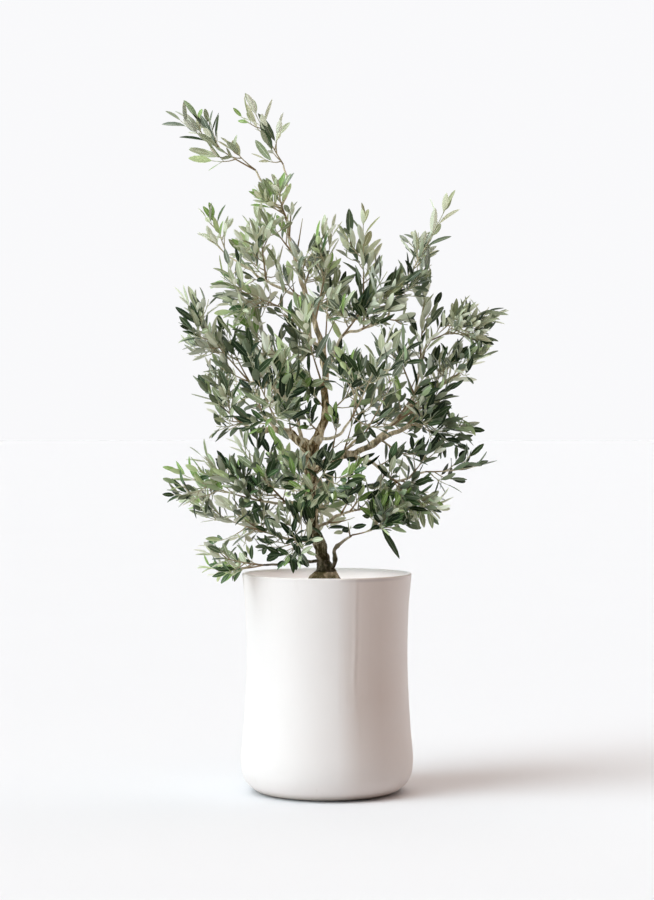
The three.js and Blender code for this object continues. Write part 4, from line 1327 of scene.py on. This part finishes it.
class Finish:
    """A material whose nodes are added one at a time."""

    def __init__(self, name):
        self.material = bpy.data.materials.new(name)
        self.material.use_nodes = True
        self.tree = self.material.node_tree
        self.shader = self.tree.nodes["Principled BSDF"]
        self.place = self.add("ShaderNodeTexCoord").outputs["Object"]

    def add(self, kind, **settings):
        node = self.tree.nodes.new(kind)
        for key, value in settings.items():
            setattr(node, key, value)
        return node

    def link(self, output, target):
        self.tree.links.new(output, target)

    def noise(self, scale, detail=4.0, roughness=0.55, stretch=(1, 1, 1)):
        mapping = self.add("ShaderNodeMapping")
        mapping.inputs["Scale"].default_value = stretch
        self.link(self.place, mapping.inputs["Vector"])
        node = self.add("ShaderNodeTexNoise")
        node.inputs["Scale"].default_value = scale
        node.inputs["Detail"].default_value = detail
        node.inputs["Roughness"].default_value = roughness
        self.link(mapping.outputs["Vector"], node.inputs["Vector"])
        return node.outputs["Fac"]

    def ramp(self, value, stops):
        node = self.add("ShaderNodeValToRGB")
        ramp = node.color_ramp
        while len(ramp.elements) < len(stops):
            ramp.elements.new(0.5)
        for element, (position, colour) in zip(ramp.elements, stops):
            element.position = position
            element.color = (*colour, 1)
        self.link(value, node.inputs["Fac"])
        return node.outputs["Color"]

    def mask(self, value, low, high):
        """Black up to one value and white from another."""
        return self.ramp(value, ((low, BLACK), (high, WHITE)))

    def mix(self, share, a, b):
        node = self.add("ShaderNodeMix", data_type="RGBA")
        for socket, value in ((0, share), (6, a), (7, b)):
            if isinstance(value, bpy.types.NodeSocket):
                self.link(value, node.inputs[socket])
            else:
                plain = value if socket == 0 else (*value, 1)
                node.inputs[socket].default_value = plain
        return node.outputs[2]

    def remap(self, value, low, high, to_low, to_high):
        node = self.add("ShaderNodeMapRange")
        names = ("From Min", "From Max", "To Min", "To Max")
        for name, number in zip(names, (low, high, to_low, to_high)):
            node.inputs[name].default_value = number
        self.link(value, node.inputs["Value"])
        return node.outputs["Result"]

    def times(self, a, b):
        node = self.add("ShaderNodeMath", operation="MULTIPLY")
        self.link(a, node.inputs[0])
        self.link(b, node.inputs[1])
        return node.outputs["Value"]

    def by_height(self, heights, low, high):
        """A number that changes between two heights."""
        node = self.add("ShaderNodeSeparateXYZ")
        self.link(self.place, node.inputs["Vector"])
        return self.remap(node.outputs["Z"], *heights, low, high)

    def by_youth(self, low, high, share):
        """A number from 0 to a share that grows with how young the wood is, as its mesh says."""
        youth = self.add("ShaderNodeAttribute", attribute_name="youth").outputs["Fac"]
        return self.remap(youth, low, high, 0, share)

    def shaded_side_mask(self):
        """White on the planter's shaded right side, where shade is painted, fading away round the back."""
        parts = self.add("ShaderNodeSeparateXYZ")
        self.link(self.place, parts.inputs["Vector"])
        turn = self.add("ShaderNodeMath", operation="ARCTAN2")
        self.link(parts.outputs["X"], turn.inputs[0])
        away = self.add("ShaderNodeMath", operation="MULTIPLY")
        self.link(parts.outputs["Y"], away.inputs[0])
        away.inputs[1].default_value = -1
        self.link(away.outputs["Value"], turn.inputs[1])
        begins = self.remap(turn.outputs["Value"], *SIDE_SHADE_BEGINS, 0, 1)
        ends = self.remap(turn.outputs["Value"], *SIDE_SHADE_ENDS, 1, 0)
        return self.times(begins, ends)

    def colour(self, output):
        self.link(output, self.shader.inputs["Base Color"])

    def roughness(self, value, low, high, to_low, to_high):
        self.link(self.remap(value, low, high, to_low, to_high), self.shader.inputs["Roughness"])

    def bump(self, height, strength, distance):
        node = self.add("ShaderNodeBump")
        node.inputs["Strength"].default_value = strength
        node.inputs["Distance"].default_value = distance * MM
        self.link(height, node.inputs["Height"])
        self.link(node.outputs["Normal"], self.shader.inputs["Normal"])

    def set(self, **values):
        for key, value in values.items():
            self.shader.inputs[key.replace("_", " ")].default_value = value


def bark_material():
    """Olive bark: mossy at the foot and darkened there by painted shade, grey-brown and furrowed above, tan
    on thin boughs.
    """
    finish = Finish("olive_bark")
    streaks = finish.noise(34, 6, 0.7, (5, 5, 1.3))
    old, young = finish.ramp(streaks, OLD_BARK), finish.ramp(streaks, YOUNG_BARK)
    bark = finish.mix(finish.by_height(YOUNG_BARK_HEIGHTS, 0, 1), old, young)
    bark = finish.mix(finish.by_youth(0.55, 0.85, 1), bark, young)
    bark = finish.mix(finish.by_youth(0.45, 1, 0.7), bark, THIN_BARK_COLOUR)
    lichen = finish.mask(finish.noise(150, 5, 0.65), 0.56, 0.62)
    bark = finish.mix(finish.mix(0.35, BLACK, lichen), bark, LICHEN_COLOUR)
    moss_line = finish.by_height(BARK_MOSS_HEIGHTS, 1, 0)
    moss_spots = finish.mask(finish.noise(110, 5, 0.6), 0.4, 0.6)
    bark = finish.mix(finish.mix(moss_line, BLACK, moss_spots), bark, BARK_MOSS_COLOUR)
    # Painted shade: the bark darkens towards the soil at the trunk's foot.
    finish.colour(finish.mix(finish.by_height(TRUNK_FOOT_SHADE_HEIGHTS, 0.85, 0), bark, TRUNK_FOOT_SHADE_COLOUR))
    finish.roughness(streaks, 0.3, 0.7, 0.92, 0.74)
    finish.set(Specular_IOR_Level=0.15)
    finish.bump(finish.noise(420, 8, 0.7, (1, 1, 0.3)), 0.6, 0.6)
    return finish.material


def twig_material(age, dark, light):
    """Young bark, smooth with fine specks, mottled from dark to light."""
    finish = Finish("twig_" + age)
    finish.colour(finish.ramp(finish.noise(18, 4, 0.6), ((0.35, dark), (0.65, light))))
    finish.roughness(finish.noise(500), 0.3, 0.7, 0.8, 0.6)
    finish.bump(finish.noise(900, 4, 0.6), 0.3, 0.15)
    return finish.material


def leaf_face_material(shade, colour):
    """The leaf's face: leathery, with a soft gloss, less on old dark leaves."""
    finish = Finish("leaf_face_" + shade)
    gloss = DULL_GLOSS if shade in DULL_SHADES else LEAF_GLOSS
    finish.set(Base_Color=(*colour, 1), Specular_IOR_Level=gloss)
    finish.roughness(finish.noise(260), 0.35, 0.65, 0.36, 0.56)
    finish.bump(finish.noise(700, 5, 0.6), 0.25, 0.12)
    return finish.material


def leaf_back_material(shade, colour):
    """The leaf's back: silvery with fine felt."""
    finish = Finish("leaf_back_" + shade)
    finish.set(Base_Color=(*colour, 1), Specular_IOR_Level=0.3, Sheen_Weight=0.25, Sheen_Roughness=0.5)
    finish.roughness(finish.noise(420), 0.35, 0.65, 0.62, 0.82)
    finish.bump(finish.noise(1500, 4, 0.7), 0.12, 0.1)
    return finish.material


def plaster_material():
    """Off-white planter: chalky and cloudy, with runs and pinholes, painted shade on its shaded right side,
    a painted shadow under the lip and a painted contact shade at its foot.
    """
    finish = Finish("chalk_white_planter")
    clouds = finish.noise(5, 5, 0.6, (1, 1, 0.6))
    base = finish.ramp(clouds, OUTSIDE_CHALK)
    runs = finish.mask(finish.noise(9, 5, 0.65, (5, 5, 0.35)), 0.6, 0.72)
    base = finish.mix(finish.mix(0.18, BLACK, runs), base, RUN_COLOUR)
    # Painted shade: the planter's right side beside the drip is darkened and warmed in cloudy patches, less
    # towards the foot.
    cloudy_side_shade = finish.mix(finish.shaded_side_mask(), BLACK, finish.ramp(clouds, SIDE_SHADE_CLOUDS))
    side_shade = finish.times(cloudy_side_shade, finish.by_height(SIDE_SHADE_HEIGHTS, 0.35, 1))
    base = finish.mix(side_shade, base, SIDE_SHADE_COLOUR)
    # Painted shadow: a dark line just under the lip, on the shaded side.
    lip_shadow_begins = finish.by_height(LIP_SHADOW_BEGINS, 0, 0.4)
    lip_shadow_ends = finish.by_height(LIP_SHADOW_ENDS, 1, 0)
    lip = finish.times(finish.times(lip_shadow_begins, lip_shadow_ends), finish.shaded_side_mask())
    base = finish.mix(lip, base, LIP_SHADOW_COLOUR)
    # Painted contact shade: the bottom 14 mm darkened brown where the planter meets the floor.
    finish.colour(finish.mix(finish.by_height(FOOT_CONTACT_SHADE_HEIGHTS, 0.6, 0), base, FOOT_CONTACT_SHADE_COLOUR))
    finish.roughness(clouds, 0.3, 0.7, 0.62, 0.78)
    finish.set(Specular_IOR_Level=0.35)
    finish.bump(finish.noise(240, 7, 0.65), 0.12, 0.5)
    return finish.material


def inside_material():
    """The planter's inside: the same chalky white without the outside's painted shade, and lighter than the
    outside, as painted light.
    """
    finish = Finish("chalk_white_inside")
    finish.colour(finish.ramp(finish.noise(9, 5, 0.6), PAINTED_LIGHT_INSIDE_CHALK))
    finish.set(Roughness=0.7, Specular_IOR_Level=0.35)
    finish.bump(finish.noise(240, 7, 0.65), 0.12, 0.5)
    return finish.material


def soil_material():
    """Potting soil with crumbs of bark and a film of moss."""
    finish = Finish("potting_soil")
    soil = finish.ramp(finish.noise(160, 7, 0.7), SOIL_TONES)
    moss = finish.mask(finish.noise(28, 5, 0.6), 0.5, 0.6)
    finish.colour(finish.mix(finish.mix(0.7, BLACK, moss), soil, SOIL_MOSS_COLOUR))
    finish.set(Roughness=0.95)
    finish.bump(finish.noise(300, 8, 0.75), 0.9, 2.0)
    return finish.material


def floor_material():
    finish = Finish("pale_floor")
    finish.colour(finish.ramp(finish.noise(1.2, 3, 0.5), FLOOR_TONES))
    finish.set(Roughness=0.95, Specular_IOR_Level=0.1)
    return finish.material


# Floor, light and camera


def studio_floor():
    """A pale floor that runs level to the horizon."""
    bm = bmesh.new()
    bmesh.ops.create_grid(bm, x_segments=24, y_segments=24, size=FLOOR_SIZE)
    mesh = mesh_of("studio_floor", bm)
    mesh.materials.append(floor_material())
    floor = put("studio_floor", mesh)


def soft_sun(name, azimuth, elevation, strength, spread, colour):
    data = bpy.data.lights.new(name, "SUN")
    data.energy = strength
    data.angle = math.radians(spread)
    data.color = colour
    turn, rise = math.radians(azimuth), math.radians(elevation)
    towards = Vector((math.sin(turn) * math.cos(rise), -math.cos(turn) * math.cos(rise), math.sin(rise)))
    put(name, data).rotation_euler = towards.to_track_quat("Z", "Y").to_euler()


def planter_light():
    """The light that the room sends down between the leaves into the planter's mouth."""
    data = bpy.data.lights.new("planter_mouth", "AREA")
    data.shape = "DISK"
    data.size = MOUTH_SIZE * MM
    data.energy = MOUTH_LIGHT
    data.color = MOUTH_COLOUR
    light = put("planter_mouth", data)
    light.location = Vector(MOUTH_PLACE) * MM
    light.visible_camera = False
    light.visible_glossy = False


def studio_world():
    """A white room behind the plant; the lights alone do the lighting."""
    world = bpy.data.worlds.new("studio")
    world.use_nodes = True
    room = world.node_tree.nodes["Background"]
    room.inputs["Color"].default_value = (*ROOM_COLOUR, 1)
    room.inputs["Strength"].default_value = 1.0
    world.cycles_visibility.diffuse = False
    bpy.context.scene.world = world


def studio_light():
    studio_world()
    for sun in SUNS:
        soft_sun(*sun)
    planter_light()
    bpy.context.scene.view_settings.view_transform = "Standard"


def studio_camera():
    data = bpy.data.cameras.new("camera")
    data.lens = CAMERA_LENS
    data.sensor_width = SENSOR_WIDTH
    data.clip_end = FLOOR_SIZE
    camera = put("camera", data)
    camera.location = CAMERA_PLACE
    camera.rotation_euler = (math.radians(90 - CAMERA_DIP), 0, 0)
    bpy.context.scene.camera = camera


# The part

limbs = trace_limbs()
mass_nodes = ["leaves_" + row[0] for row in MASSES]
twigs, leaves = grow_crown(limbs)

studio_camera()
wood_piece(limbs)
twig_mesh = mesh_from_arrays("twigs", *twig_shapes(twigs, leaves))
twig_finishes = [twig_material(*row) for row in TWIG_TONES]
finish_piece("twigs", twig_mesh, mass_nodes, twig_finishes)
leaf_pieces(leaves, mass_nodes)
pot_piece()
soil_piece()
studio_floor()
studio_light()
